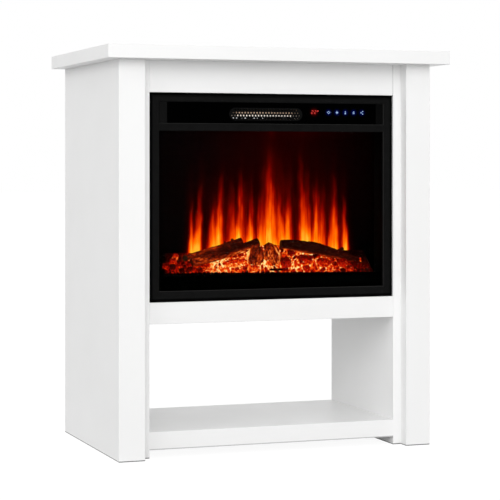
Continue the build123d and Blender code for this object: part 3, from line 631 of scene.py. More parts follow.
# A finish for each material slot but those of the coals and logs, then the few nodes that have their own
finishes = {
    "white_lacquer": whiteLacquer("whiteLacquer"),
    "plain_timber": plainTimber(),
    "black_frame": frameBlack(),
    "smoked_glass": smokedGlass(),
    "control_gloss": controlGloss(),
    "grille_black": mattBlack("grilleBlack", grey(0.0012), grey(0.0024), (0.4, 0.55), 0.03, 0.0004),
    "casing_black": mattBlack("casingBlack", (0.005, 0.005, 0.0052), (0.009, 0.009, 0.0093),
                              (0.5, 0.65), 0.15, 0.0009),
    "bright_sheet": brightSheet(),
    "element_ceramic": elementCeramic(),
    "fan_black": mattBlack("fanBlack", grey(0.015), grey(0.025), (0.4, 0.55), 0.3),
    "motor_steel": steel("motorSteel", (0.42, 0.42, 0.43), (0.6, 0.6, 0.61), (0.2, 1, 1)),
    "bearing_nylon": bearingNylon(),
    "circuit_green": circuitGreen(),
    "flame_acrylic": flameAcrylic(),
    "switch_black": mattBlack("switchBlack", grey(0.008), grey(0.014), (0.22, 0.34), 0.4, 0.0005),
    "screw_steel": steel("screwSteel", (0.5, 0.5, 0.52), (0.7, 0.7, 0.72), (1, 1, 1)),
    "rubber_black": mattBlack("rubberBlack", grey(0.012), grey(0.02), (0.7, 0.85), 0.2),
}
for node, cadObject in cadNodes.items():
    if slotOfNode[node] in finishes:
        cadObject.data.materials.clear()
        cadObject.data.materials.append(finishes[slotOfNode[node]])
ownFinishes = {
    # the hearth lip is near black, darker than the casing
    "hearth_lip": mattBlack("hearthNearBlack", grey(0.0006), (0.0014, 0.0012, 0.0011), (0.6, 0.75), 0.02),
    # the end caps are lit and shaded copies of one black: painted light on the left one, painted shade on the
    # right one
    "left_end_cap": mattBlack("leftCapLitBlack", grey(0.0026), grey(0.0036), (0.4, 0.55), 0.03),
    "right_end_cap": mattBlack("rightCapShadedBlack", grey(0.0006), grey(0.001), (0.4, 0.55), 0.02),
    "casing_back": mattBlack("backSheetBlack", (0.014, 0.014, 0.0145), (0.024, 0.024, 0.025),
                             (0.45, 0.6), 0.3, 0.0009),
    "fascia_board": whiteLacquer("fasciaLacquer", jointShadowX=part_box("fascia_board")[1].x),
    "bottom_shelf": whiteLacquer("shelfLacquer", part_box("bottom_shelf")[0].z, "shelfShadeLine"),
}
for node, finish in ownFinishes.items():
    cadNodes[node].data.materials[0] = finish
print("finishes:", len(finishes) + len(ownFinishes))


# Boards have slightly eased edges, so that a joint between two of them shows as a fine line
easing = {"radius": 0.0007, "steps": 2, "angle": 40, "flatAngle": 1, "weldWithin": 1e-6}


def easeEdges(board):
    weld = board.modifiers.new("weld", "WELD")
    weld.merge_threshold = easing["weldWithin"]
    flat = board.modifiers.new("flat", "DECIMATE")
    flat.decimate_type = "DISSOLVE"
    flat.angle_limit = math.radians(easing["flatAngle"])
    bevel = board.modifiers.new("ease", "BEVEL")
    bevel.width = easing["radius"]
    bevel.segments = easing["steps"]
    bevel.limit_method = "ANGLE"
    bevel.angle_limit = math.radians(easing["angle"])
    bevel.harden_normals = False
    normals = board.modifiers.new("normals", "WEIGHTED_NORMAL")
    normals.keep_sharp = False


easedBoards = [name for name, slot in slotOfNode.items() if slot in ("white_lacquer", "plain_timber")]
for name in easedBoards:
    easeEdges(cadNodes[name])
print("boards eased:", len(easedBoards))


def putPiece(name, mesh, pieceFinishes):
    mesh.validate()
    piece = newObject(name, mesh)
    for finish in pieceFinishes:
        mesh.materials.append(finish)
    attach(piece, mainBody)
    return piece


# Seal: a soft black strip that fills the gap between the insert's frame and the boards round it; being near
# black, it is also painted shade for that gap
seal = {
    "setBack": 0.002, "deep": 0.006, "bulge": 0.0008, "clear": 0.0001, "steps": 8,
    "dark": grey(0.0006), "light": grey(0.0015), "rough": (0.8, 0.95), "specular": 0.02, "cellSize": 0.0006,
}


def buildSeal():
    inner = (frameLow.x, frameHigh.x, frameLow.z, frameHigh.z)
    clear = seal["clear"]
    outer = (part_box("left_inner_panel")[1].x + clear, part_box("right_inner_panel")[0].x - clear,
             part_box("insert_rail")[1].z + clear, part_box("fascia_board")[0].z - clear)
    profile = [(0.0, seal["deep"])]
    for step in range(seal["steps"] + 1):
        share = step / seal["steps"]
        profile.append((share, seal["bulge"] * (2 * share - 1) ** 2))
    profile.append((1.0, seal["deep"]))
    points = []
    for share, behind in profile:
        left, right, low, high = [near + (far - near) * share for near, far in zip(inner, outer)]
        y = frameLow.y + seal["setBack"] + behind
        points += [(left, y, low), (right, y, low), (right, y, high), (left, y, high)]
    faces = []
    for ring in range(len(profile)):
        start, after = ring * 4, (ring + 1) % len(profile) * 4
        for corner in range(4):
            following = (corner + 1) % 4
            faces.append((start + corner, start + following, after + following, after + corner))
    foam = mattBlack("sealFoamAndShade", seal["dark"], seal["light"], seal["rough"], seal["specular"],
                     seal["cellSize"])
    putPiece("insert_seal", newMesh("insert_seal", points, faces), [foam])


buildSeal()
print("seal round the insert")


# Ember bed: a moulded bank of small coals that glows in the gaps between them
emberLow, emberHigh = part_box("ember_bed")
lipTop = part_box("hearth_lip")[1].z
embers = {
    "rise": 0.041, "mound": 0.012, "moundSides": (-0.105, 0.124), "moundSoft": 0.02,
    "moundFront": 0.004, "moundRamp": 0.014, "columns": 460, "rows": 70, "seed": 11,
    # the moulding runs out flat at its four edges, in shares of its depth and width
    "frontEdge": (0.0, 0.1), "backEdge": (1.0, 0.97), "leftEdge": (0.0, 0.01), "rightEdge": (1.0, 0.99),
    # size of the coals by place across, how they are strewn down the slope, and how far they stand up
    "coalSize": [(-0.218, 0.009), (-0.13, 0.0085), (-0.11, 0.0065), (-0.075, 0.0075), (-0.05, 0.012),
                 (0.03, 0.013), (0.15, 0.014), (0.18, 0.009), (0.218, 0.007)],
    "margin": 0.006, "slopeFrom": -0.01, "slopeTo": 0.08, "coalShift": 0.45, "coalLean": 0.35,
    "coalTall": (0.5, 1.0), "coalHeight": 0.36, "gap": 0.36,
    "wander": 0.004, "wanderScale": 120, "rough": 0.0007, "roughScale": 330,
    # heat of the gaps, by place across, and the share of it that the coals themselves have
    "heat": [(-0.218, 0.25), (-0.2, 0.55), (-0.16, 0.66), (-0.13, 0.75), (-0.112, 0.94), (-0.08, 0.88),
             (-0.06, 0.78), (-0.04, 0.86), (-0.015, 1.0), (0.012, 1.02), (0.04, 0.84), (0.09, 1.04),
             (0.135, 0.8), (0.16, 0.56), (0.185, 0.36), (0.218, 0.2)],
    "heatEven": 0.85, "heatSwing": 0.5, "heatScale": 45, "seam": 0.15,
    "body": [(-0.218, 0.36), (-0.16, 0.48), (-0.125, 0.46), (-0.108, 0.66), (-0.085, 0.6), (-0.065, 0.38),
             (-0.02, 0.5), (0.0, 0.6), (0.03, 0.42), (0.06, 0.42), (0.09, 0.5), (0.15, 0.38), (0.185, 0.3),
             (0.218, 0.2)],
    "bodyLeast": 0.6, "bodySpan": 0.7, "deadCoals": 0.12, "deadBody": 0.1,
    "vein": 0.08, "veinScale": 85, "veinHeat": 0.22, "rimHeat": 0.34, "hotSpotHeat": 0.36,
    # a hot spot is its place across, its place down the slope and its reach
    "hotSpots": [(-0.109, 0.02, 0.012), (-0.088, 0.01, 0.018), (-0.048, 0.034, 0.007), (-0.006, 0.02, 0.011),
                 (0.014, 0.006, 0.014), (0.064, 0.008, 0.014), (0.072, 0.02, 0.005), (0.108, 0.036, 0.008)],
    # where the bed is cold: both back corners, both ends and the foot of the bank
    "cornerDark": 0.85, "cornerBack": (0.3, 0.75), "cornerOut": (0.14, 0.19),
    "leftDark": 0.016, "leftSoft": 0.005, "rightDark": 0.01, "rightSoft": 0.001, "raggedScale": 160,
    "footDark": 0.005, "footBelow": 0.0004, "footAbove": 0.0006,
}
bankDeep = emberHigh.y - emberLow.y
bankFace = Vector((0, -embers["rise"], bankDeep)).normalized()

emberLook = {
    "mottleSize": 0.0046, "mottle": (0.36, 1.42),
    "sparkScale": 210.0, "sparkReach": (0.1, 0.26), "sparkHeat": 0.3, "sparkGlow": (0.0, 0.3),
    "speckReach": (0.08, 0.24), "speckHeat": 0.5, "speckFrom": (0.82, 0.84), "speckGlow": (0.01, 0.08),
    "dark": (0.003, 0.001, 0.0006), "light": (0.012, 0.005, 0.003), "patchSize": 0.004,
    "pitSize": 0.0022, "pitDeep": 0.0006,
    "colours": [
        (0.0, (0.0, 0.0, 0.0)), (0.14, (0.03, 0.0002, 0.0)), (0.3, (0.17, 0.001, 0.0)),
        (0.45, (0.44, 0.005, 0.0003)), (0.6, (0.8, 0.034, 0.001)), (0.75, (1.0, 0.15, 0.006)),
        (0.88, (1.0, 0.42, 0.05)), (1.0, (1.0, 0.76, 0.3)),
    ],
    "strength": 2.9,
}


# Large coals set in the bank: place across, behind the lip and above it, half sizes (all in mm), then glow
lumps = {
    "seed": 4, "rings": 20, "around": 32, "blocky": 3.4, "tilt": 0.25, "twist": 0.3, "wallGap": 0.0003,
    "noiseSpan": 40,
    "rough": 0.2, "dentScale": 1.7, "crackScale": 3.1, "crackWide": 0.12, "crackDeep": 0.1,
    "glowEven": 0.55, "glowUnder": 0.55, "underFrom": (0.75, -0.6), "glowCrack": 0.5, "glowCrackWide": 0.1,
    "rimFrom": 0.3, "rimAt": 1.12, "rimWide": 0.14,
    "places": {
        "flat_log": (-68.5, 13, 21, 23, 8, 7.5, 0.75), "block_a": (38.4, 13, 20.3, 11, 8, 10.5, 0.38),
        "block_b": (79.5, 16, 25, 15, 9, 10.5, 0.42), "block_c": (118.8, 14, 19, 15, 9, 8.5, 0.48),
        "block_d": (160, 13, 18, 9, 7, 8.5, 0.42), "block_e": (171, 8, 8.5, 8, 6, 5, 0.42),
        "block_f": (-29, 7, 11, 8, 5, 6, 0.7), "block_g": (53, 24, 38, 6, 5, 6, 0.32),
        "flat_dark": (15.3, 4.4, 8, 13, 3, 2.2, 0.05), "char_a": (-195.6, 12, 17, 6, 6, 5.5, 0.14),
        "char_b": (-178, 8, 9.6, 6, 5, 5, 0.12), "char_c": (-161, 8, 12, 6, 5, 5, 0.18),
        "char_d": (-142, 7, 10, 6, 5, 5, 0.24), "char_e": (189, 12, 14, 9, 7, 7, 0.2),
        "char_f": (206, 10, 11, 7, 6, 6, 0.18), "red_a": (-207, 14, 18, 6, 6, 6, 0.34),
        "red_b": (-190, 22, 27, 6, 6, 7, 0.44), "orange_a": (-183, 30, 35, 5, 5, 6, 0.6),
        "spark_a": (200, 20, 23, 2, 2, 4.5, 0.62),
    },
}


def between(table, value):
    for (lowAt, low), (highAt, high) in zip(table, table[1:]):
        if value <= highAt:
            return low + (high - low) * max(0.0, (value - lowAt) / (highAt - lowAt))
    return table[-1][1]


def eased(low, high, value):
    share = min(1.0, max(0.0, (value - low) / (high - low)))
    return share * share * (3 - 2 * share)


def bankPoint(x, back):
    left, right = embers["moundSides"]
    soft = embers["moundSoft"]
    raised = eased(left - soft, left + soft, x) * eased(right + soft, right - soft, x)
    raised *= eased(embers["moundFront"], embers["moundFront"] + embers["moundRamp"], back * bankDeep)
    z = lipTop + back * embers["rise"] + raised * embers["mound"]
    return Vector((x, emberLow.y + back * bankDeep, z))


def rimOfLumps(x, z):
    hottest = 0.0
    power = lumps["blocky"]
    for across, behind, above, halfWide, halfDeep, halfTall, glow in lumps["places"].values():
        if glow > lumps["rimFrom"]:
            side = abs(x / mm - fireMiddle - across) / halfWide
            rise = abs((z - lipTop) / mm - above) / halfTall
            reach = (side ** power + rise ** power) ** (1 / power)
            hottest = max(hottest, math.exp(-((reach - lumps["rimAt"]) / lumps["rimWide"]) ** 2))
    return hottest


def scatterCoals(chance):
    coals = []
    shift, tip = embers["coalShift"], embers["coalLean"]
    x = emberLow.x - embers["margin"]
    while x < emberHigh.x + embers["margin"]:
        size = between(embers["coalSize"], x)
        down = embers["slopeFrom"] - size * chance.random()
        while down < embers["slopeTo"]:
            spot = (x + size * chance.uniform(-shift, shift), down + size * chance.uniform(-shift, shift), 0)
            lean = (chance.uniform(-tip, tip), chance.uniform(-tip, tip))
            coals.append((Vector(spot), size, lean, chance.uniform(*embers["coalTall"]), chance.random()))
            down += size
        x += size
    return coals


def emberFinish():
    finish, tree, shader = newFinish("emberResin", (0.02, 0.012, 0.01), 0.6, 0.1)
    glow = painted(tree, "glow")
    where = places(tree)
    look = emberLook
    heat = times(glow, fromNoise(grain(where, look["mottleSize"], 4, 0.7), *look["mottle"]))
    cells = feed(addNode(tree, "TexVoronoi"), Vector=where, Scale=look["sparkScale"]).outputs
    spark = spread(cells["Distance"], *look["sparkReach"], look["sparkHeat"], 0.0)
    heat = plus(heat, times(spark, spread(glow, *look["sparkGlow"])))
    # here and there a coal throws a bright speck, also where the bed is dark
    chance = feed(addNode(tree, "SeparateColor"), Color=cells["Color"]).outputs[0]
    speck = spread(cells["Distance"], *look["speckReach"], look["speckHeat"], 0.0)
    speck = times(speck, spread(chance, *look["speckFrom"]))
    heat = sums("ADD", heat, times(speck, spread(glow, *look["speckGlow"])), clamp=True)
    shine(shader, heat, look)
    tint(shader, grain(where, look["patchSize"], 3), look["dark"], look["light"])
    relief(shader, grain(where, look["pitSize"], 3), look["pitDeep"])
    return finish


def litShare(x, back, spot, height):
    corner = eased(*embers["cornerBack"], back) * eased(*embers["cornerOut"], abs(x))
    share = 1 - embers["cornerDark"] * corner
    leftEnd = emberLow.x + embers["leftDark"] * back
    share *= eased(leftEnd, leftEnd + embers["leftSoft"], x)
    ragged = embers["rightDark"] * (back + noise.noise(spot * embers["raggedScale"]))
    share *= eased(emberHigh.x, emberHigh.x - max(embers["rightSoft"], ragged), x)
    # the foot of the bank is cold, most of all at the left
    foot = lipTop + embers["footDark"] * (emberHigh.x - x) / (emberHigh.x - emberLow.x)
    return share * eased(foot - embers["footBelow"], foot + embers["footAbove"], height)


def emberGlow(x, back, spot, edge, own):
    place = x - fireMiddle * mm
    seam = math.exp(-(edge / embers["seam"]) ** 2)
    body = embers["deadBody"]
    if own >= embers["deadCoals"]:
        body = between(embers["body"], place) * (embers["bodyLeast"] + embers["bodySpan"] * own)
    swing = embers["heatSwing"] * noise.noise(spot * embers["heatScale"])
    heat = between(embers["heat"], place) * (embers["heatEven"] + swing)
    for hotX, hotDown, hotReach in embers["hotSpots"]:
        away = (place - hotX) ** 2 + (spot.y - hotDown) ** 2
        heat += embers["hotSpotHeat"] * math.exp(-away / hotReach ** 2)
    vein = embers["veinHeat"] * math.exp(-(noise.noise(spot * embers["veinScale"]) / embers["vein"]) ** 2)
    height = bankPoint(x, back).z
    rimmed = embers["rimHeat"] * rimOfLumps(x, height)
    return litShare(x, back, spot, height) * (heat * (seam + (1 - seam) * body + vein) + rimmed)


def buildEmbers(finish):
    noise.seed_set(embers["seed"])  # noise_vector is offset by this seed, or by the clock without it
    coals = scatterCoals(random.Random(embers["seed"]))
    search = kdtree.KDTree(len(coals))
    for index, coal in enumerate(coals):
        search.insert(coal[0], index)
    search.balance()
    columns, rows = embers["columns"], embers["rows"]
    slopeLong = math.hypot(bankDeep, embers["rise"])
    points, glows = [], []
    for row in range(rows + 1):
        back = row / rows
        for column in range(columns + 1):
            across = column / columns
            x = emberLow.x + (emberHigh.x - emberLow.x) * column / columns
            spot = Vector((x, back * slopeLong, 0))
            wander = noise.noise_vector(spot * embers["wanderScale"]) * embers["wander"]
            (middle, index, near), (_, _, second) = search.find_n(spot + wander, 2)
            _, size, lean, tall, own = coals[index]
            edge = (second - near) / size
            top = size * embers["coalHeight"] * tall + lean[0] * (x - middle.x)
            top += lean[1] * (spot.y - middle.y)
            lift = max(0.0, top) * eased(0.0, embers["gap"], edge)
            lift += embers["rough"] * noise.fractal(spot * embers["roughScale"], 1.0, 2.0, 3)
            flat = eased(*embers["frontEdge"], back) * eased(*embers["backEdge"], back)
            flat *= eased(*embers["leftEdge"], across) * eased(*embers["rightEdge"], across)
            points.append(bankPoint(x, back) + bankFace * max(0.0, lift) * flat)
            glows.append(emberGlow(x, back, spot, edge, own))
    stride = columns + 1
    faces = []
    for row in range(rows):
        for column in range(columns):
            first = row * stride + column
            faces.append((first, first + 1, first + stride + 1, first + stride))
    # a skirt down to the casing floor and a flat underside close the moulding
    loop = list(range(stride))
    loop += [row * stride + columns for row in range(1, rows + 1)]
    loop += [rows * stride + column for column in range(columns - 1, -1, -1)]
    loop += [row * stride for row in range(rows - 1, 0, -1)]
    start, count = len(points), len(loop)
    points += [(points[index][0], points[index][1], emberLow.z) for index in loop]
    glows += [0.0] * count
    for step in range(count):
        after = (step + 1) % count
        faces.append((loop[after], loop[step], start + step, start + after))
    faces.append(tuple(range(start + count - 1, start - 1, -1)))
    mesh = newMesh("ember_coals", points, faces, glow=glows)
    return putPiece("ember_coals", mesh, [finish])


emberResin = emberFinish()
emberPiece = buildEmbers(emberResin)
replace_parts(emberPiece, "ember_bed")
print("embers:", len(emberPiece.data.vertices), "points")


def buildLump(name, place, finish, chance):
    across, behind, above, *half, glow = place
    middle = Vector(((across + fireMiddle) * mm, emberLow.y + behind * mm, lipTop + above * mm))
    turn = Matrix.Rotation(chance.uniform(-lumps["tilt"], lumps["tilt"]), 3, "Y")
    turn = turn @ Matrix.Rotation(chance.uniform(-lumps["twist"], lumps["twist"]), 3, "Z")
    drift = Vector((chance.random(), chance.random(), chance.random())) * lumps["noiseSpan"]
    rings, around, power = lumps["rings"], lumps["around"], lumps["blocky"]
    crackWide, glowWide = lumps["crackWide"], lumps["glowCrackWide"]
    points, glows = [], []

    def addPoint(tilt, bearing):
        way = Vector((math.sin(tilt) * math.cos(bearing), math.sin(tilt) * math.sin(bearing), math.cos(tilt)))
        reach = sum(abs(part) ** power for part in way) ** (-1 / power)
        dent = noise.fractal(way * lumps["dentScale"] + drift, 0.9, 2.0, 4)
        crack = abs(noise.noise(way * lumps["crackScale"] + drift))
        reach *= 1 + lumps["rough"] * dent - lumps["crackDeep"] * max(0.0, crackWide - crack) / crackWide
        shaped = turn @ Vector([part * reach * size * mm for part, size in zip(way, half)])
        shaped.y = max(shaped.y, emberLow.y + lumps["wallGap"] - middle.y)
        points.append(middle + shaped)
        under = eased(*lumps["underFrom"], way.z)
        seam = max(0.0, glowWide - crack) / glowWide
        glows.append(glow * (lumps["glowEven"] + lumps["glowUnder"] * under + lumps["glowCrack"] * seam))

    addPoint(0.0, 0.0)
    for ring in range(1, rings):
        for step in range(around):
            addPoint(math.pi * ring / rings, math.tau * step / around)
    addPoint(math.pi, 0.0)
    last = len(points) - 1
    faces = []
    for step in range(around):
        after = (step + 1) % around
        faces.append((0, 1 + step, 1 + after))
        for ring in range(rings - 2):
            low = 1 + ring * around
            faces.append((low + step, low + around + step, low + around + after, low + after))
        low = 1 + (rings - 2) * around
        faces.append((low + step, last, low + after))
    mesh = newMesh("coal_" + name, points, faces, glow=glows)
    putPiece("coal_" + name, mesh, [finish])


lumpChance = random.Random(lumps["seed"])
for name, place in lumps["places"].items():
    buildLump(name, place, emberResin, lumpChance)
print("large coals:", len(lumps["places"]))


# Logs: bark round a bent axis. A station is shares of the bed's half width, depth and rise, then a radius
# in mm. A lit patch is its share along the log, its angle round it, both spans and its heat. A stub is its
# share along the log, the way it points, and its radius and reach in mm
# The glow is partly the resin's own light from inside and partly painted light: the lit patches paint the
# embers' glow on the sides turned to them
logs = {
    "left_back_log": {
        "stations": [(-0.76, 0.7, 0.75, 5.8), (-0.5, 0.79, 1.07, 6.8), (-0.2, 0.8, 1.52, 8.0)],
        "deep": 1.0, "split": 0.1, "seed": 3, "glow": 0.2,
        "lit": [(0.25, 300, 0.2, 60, 0.3), (0.55, 330, 0.15, 50, 0.25)],
        "stubs": [(0.02, (-0.15, -1, 0.05), 7.5, 7), (0.86, (-0.2, -0.3, 1), 4.0, 7),
                  (0.8, (-1, -0.2, 0.75), 2.0, 9)],
    },
    "left_front_log": {
        "stations": [(-0.71, 0.3, 0.58, 7.5), (-0.4, 0.43, 0.95, 8.5), (-0.06, 0.61, 1.47, 8.5)],
        "deep": 0.9, "split": 0.25, "seed": 8, "glow": 0.14,
        "lit": [(0.1, 280, 0.28, 90, 0.42), (0.78, 225, 0.2, 45, 0.58), (0.45, 215, 0.2, 45, 0.3)],
        "stubs": [(0.55, (0.3, -0.6, 0.8), 3.0, 4)],
    },
    "centre_left_log": {
        "stations": [(-0.078, 0.27, 1.32, 5.5), (-0.116, 0.28, 0.84, 17.2), (-0.142, 0.26, 0.43, 10.0)],
        "deep": 0.54, "split": 0.75, "seed": 5, "glow": 0.27,
        "lit": [(0.5, 300, 0.3, 40, 0.3), (0.9, 270, 0.15, 80, 0.25), (0.6, 180, 0.35, 28, 0.95)],
        "stubs": [],
    },
    "centre_right_log": {
        "stations": [(0.008, 0.47, 1.42, 5.4), (0.057, 0.38, 0.86, 17.0), (0.068, 0.27, 0.36, 9.5)],
        "deep": 0.54, "split": 0.7, "seed": 17, "glow": 0.25,
        "lit": [(0.45, 240, 0.3, 42, 0.5), (0.5, 176, 0.3, 24, 0.6), (0.55, 326, 0.35, 24, 0.95),
                (0.9, 270, 0.2, 70, 0.4)],
        "stubs": [],
    },
    "right_log": {
        "stations": [(0.152, 0.56, 1.37, 7.8), (0.48, 0.48, 1.14, 11.2), (0.9, 0.36, 0.52, 4.5)],
        "deep": 0.95, "split": 0.12, "seed": 23, "glow": 0.1,
        "lit": [(0.1, 190, 0.3, 30, 0.3), (0.4, 190, 0.3, 30, 0.3), (0.75, 195, 0.2, 40, 0.24),
                (0.8, 270, 0.2, 90, 0.08)],
        "stubs": [(0.74, (0.8, 0.15, 0.42), 4.4, 16)],
    },
}
bark = {
    "around": 72, "pitch": 0.0011, "leastSteps": 24, "capRings": 4, "backWay": (0, 1, 0.02),
    "lump": 0.12, "lumpScale": 1.6, "lumpAlong": 55, "lumpSeed": 7.3,
    "ridge": 0.2, "ridgeMiddle": 0.6, "ridgeSharp": 2.2, "flutes": 5.0, "furrowAlong": 80, "furrowSeed": 3.1,
    "splitSides": 4, "splitFull": 1.12,
    "stubSteps": 14, "stubTaper": 0.3, "stubRoot": 0.6, "stubLitAngle": 300, "stubDeep": 1.0,
    "stubSplit": 0.1,
}
barkLook = {
    "worn": [(0.0, (0.002, 0.001, 0.0005)), (0.45, (0.012, 0.006, 0.002)), (0.75, (0.038, 0.018, 0.006)),
             (1.0, (0.11, 0.05, 0.018))],
    "patchSize": 0.009, "patchWear": (0.3, 1.2), "rough": (0.65, 0.92),
    "crustSize": 0.0016, "crustDeep": 0.0005,
    "fleckSize": 0.0048, "fleckFrom": (0.32, 0.68), "fleckHeat": (0.35, 1.5), "ridgeHighlightHeat": (0.45, 1.25),
    "colours": [
        (0.0, (0.0, 0.0, 0.0)), (0.2, (0.032, 0.0022, 0.0006)), (0.4, (0.2, 0.011, 0.0014)),
        (0.6, (0.5, 0.04, 0.003)), (0.8, (0.95, 0.18, 0.018)), (1.0, (1.0, 0.6, 0.16)),
    ],
    "strength": 2.9,
}
cutLook = {
    "dark": (0.03, 0.017, 0.007), "light": (0.12, 0.065, 0.025), "rings": 42.0,
    "wobble": 0.5, "wobbleSize": 0.004, "fibreSize": 0.001, "fibreDeep": 0.0004,
}


def along(stations, share):
    first = (2 * share - 1) * (share - 1)
    middle = 4 * share * (1 - share)
    last = share * (2 * share - 1)
    return stations[0] * first + stations[1] * middle + stations[2] * last


def barkFinish(name, stretch):
    finish, tree, shader = newFinish(name, (0.03, 0.018, 0.01), 0.78, 0.12)
    look = barkLook
    where = places(tree, stretch)
    ridge = painted(tree, "ridge")
    patches = grain(where, look["patchSize"], 4, 0.65)
    worn = times(ridge, fromNoise(patches, *look["patchWear"]))
    feed(shader, Base_Color=ramp(worn, look["worn"]), Roughness=fromNoise(patches, *look["rough"]))
    flecks = spread(grain(where, look["fleckSize"], 4, 0.72), *look["fleckFrom"], *look["fleckHeat"])
    # the bark ridges glow more, a painted highlight
    raised = spread(ridge, 0.0, 1.0, *look["ridgeHighlightHeat"])
    shine(shader, times(painted(tree, "glow"), times(flecks, raised)), look)
    relief(shader, grain(where, look["crustSize"], 3), look["crustDeep"])
    return finish


def cutFinish():
    finish, tree, shader = newFinish("logCut", (0.1, 0.05, 0.02), 0.8, 0.12)
    wobble = times(grain(places(tree), cutLook["wobbleSize"]), cutLook["wobble"])
    bands = sums("SINE", times(plus(painted(tree, "ridge"), wobble), cutLook["rings"]))
    tint(shader, spread(bands, -1.0, 1.0), cutLook["dark"], cutLook["light"])
    relief(shader, grain(places(tree), cutLook["fibreSize"]), cutLook["fibreDeep"])
    return finish


def litBy(log, share, angle):
    heat = log["glow"]
    for at, bearing, span, spanAngle, extra in log["lit"]:
        off = (math.degrees(angle) - bearing + 180) % 360 - 180
        heat += extra * math.exp(-((share - at) / span) ** 2 - (off / spanAngle) ** 2)
    return heat


def barkReach(way, angle, travelled, seed, split):
    lumpAt = travelled * bark["lumpAlong"] + seed * bark["lumpSeed"]
    lump = noise.fractal(way * bark["lumpScale"] + Vector((0, 0, lumpAt)), 1.0, 2.0, 3)
    furrowAt = travelled * bark["furrowAlong"] + seed * bark["furrowSeed"]
    furrow = noise.fractal(way * bark["flutes"] + Vector((0, 0, furrowAt)), 0.9, 2.1, 3)
    ridge = 1 - min(1.0, abs(furrow) * bark["ridgeSharp"])
    # a split log has flat sides with corners between them
    corner = math.tau / bark["splitSides"]
    wedge = math.cos(corner / 2) / math.cos((angle + seed) % corner - corner / 2)
    reach = 1 - split + split * wedge * bark["splitFull"]
    return reach, 1 + bark["lump"] * lump + bark["ridge"] * (ridge - bark["ridgeMiddle"]), ridge


def barkTube(shape, axis, radii, log, seed, deep, split):
    points, faces, ridges, glows = shape
    around = bark["around"]
    start = len(points)
    travelled = 0.0
    for index, middle in enumerate(axis):
        ahead = axis[min(index + 1, len(axis) - 1)] - axis[max(index - 1, 0)]
        wide = ahead.cross(Vector(bark["backWay"])).normalized()
        depth = wide.cross(ahead).normalized()
        if index:
            travelled += (middle - axis[index - 1]).length
        for step in range(around):
            angle = math.tau * step / around
            way = Vector((math.cos(angle), math.sin(angle), 0))
            section, bumps, ridge = barkReach(way, angle, travelled, seed, split)
            reach = radii[index] * section
            reach *= bumps
            points.append(middle + wide * way.x * reach + depth * way.y * reach * deep)
            ridges.append(ridge)
            glows.append(litBy(log, index / (len(axis) - 1), angle))
    for index in range(len(axis) - 1):
        low = start + index * around
        for step in range(around):
            after = (step + 1) % around
            faces.append((0, low + step, low + after, low + around + after, low + around + step))
    # sawn ends: rings that step in to the heart of the log
    for end, outward in ((0, False), (len(axis) - 1, True)):
        outer = [start + end * around + step for step in range(around)]
        for ring in range(bark["capRings"], -1, -1):
            share = ring / (ring + 1)
            inner = []
            for index in outer:
                inner.append(len(points))
                points.append(axis[end] + (points[index] - axis[end]) * share)
                ridges.append(ring / (bark["capRings"] + 1))
                glows.append(0.0)
                if ring == 0:
                    break
            for step in range(around):
                after = (step + 1) % around
                quad = [outer[step], outer[after], inner[after % len(inner)], inner[step % len(inner)]]
                if ring == 0:
                    quad.pop()
                faces.append((1, *(quad if outward else quad[::-1])))
            outer = inner


def buildLog(name, log, barkFace, cutFace):
    stations = []
    for across, behind, above, radius in log["stations"]:
        x = across * emberHigh.x + fireMiddle * mm
        stations.append(Vector((x, emberLow.y + behind * bankDeep, lipTop + above * embers["rise"])))
    thick = [radius * mm for across, behind, above, radius in log["stations"]]
    steps = max(bark["leastSteps"], int((stations[2] - stations[0]).length / bark["pitch"]))
    shares = [step / steps for step in range(steps + 1)]
    shape = ([], [], [], [])
    axis = [along(stations, share) for share in shares]
    radii = [along(thick, share) for share in shares]
    barkTube(shape, axis, radii, log, log["seed"], log["deep"], log["split"])
    stubSteps = bark["stubSteps"]
    for share, lean, radius, reach in log["stubs"]:
        root = along(stations, share)
        run = Vector(lean).normalized() * (along(thick, share) * bark["stubRoot"] + reach * mm)
        stubAxis, stubRadii = [], []
        for step in range(stubSteps + 1):
            stubAxis.append(root + run * step / stubSteps)
            stubRadii.append(radius * mm * (1 - bark["stubTaper"] * step / stubSteps))
        stub = {"glow": litBy(log, share, math.radians(bark["stubLitAngle"])), "lit": []}
        barkTube(shape, stubAxis, stubRadii, stub, log["seed"] + 1, bark["stubDeep"], bark["stubSplit"])
    points, faces, ridges, glows = shape
    mesh = newMesh(name + "_bark", points, [face[1:] for face in faces], ridge=ridges, glow=glows)
    mesh.polygons.foreach_set("material_index", [face[0] for face in faces])
    mesh.polygons.foreach_set("use_smooth", [True] * len(faces))
    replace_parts(putPiece(name + "_bark", mesh, [barkFace, cutFace]), name)


lyingBark = barkFinish("lyingBark", (0.3, 1, 0.8))
standingBark = barkFinish("standingBark", (1, 1, 0.3))
logCut = cutFinish()
for name, log in logs.items():
    buildLog(name, log, standingBark if name.startswith("centre") else lyingBark, logCut)
print("logs:", len(logs))


# Lit symbols and reading: thin shapes on the face of the control pane
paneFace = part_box("control_glass")[0].y
display = {"flickerSize": 0.002, "flickerLeast": 0.85, "discSides": 20}

# the seven bars of a digit, as ends in shares of its width and height, and the bars that each digit lights
digitBars = {
    "a": ((0, 1), (1, 1)), "b": ((1, 1), (1, 0.5)), "c": ((1, 0.5), (1, 0)), "d": ((0, 0), (1, 0)),
    "e": ((0, 0), (0, 0.5)), "f": ((0, 0.5), (0, 1)), "g": ((0, 0.5), (1, 0.5)),
}
litBars = {
    "0": "abcdef", "1": "bc", "2": "abged", "3": "abgcd", "4": "fgbc",
    "5": "afgcd", "6": "afgedc", "7": "abc", "8": "abcdefg", "9": "abcdfg",
}


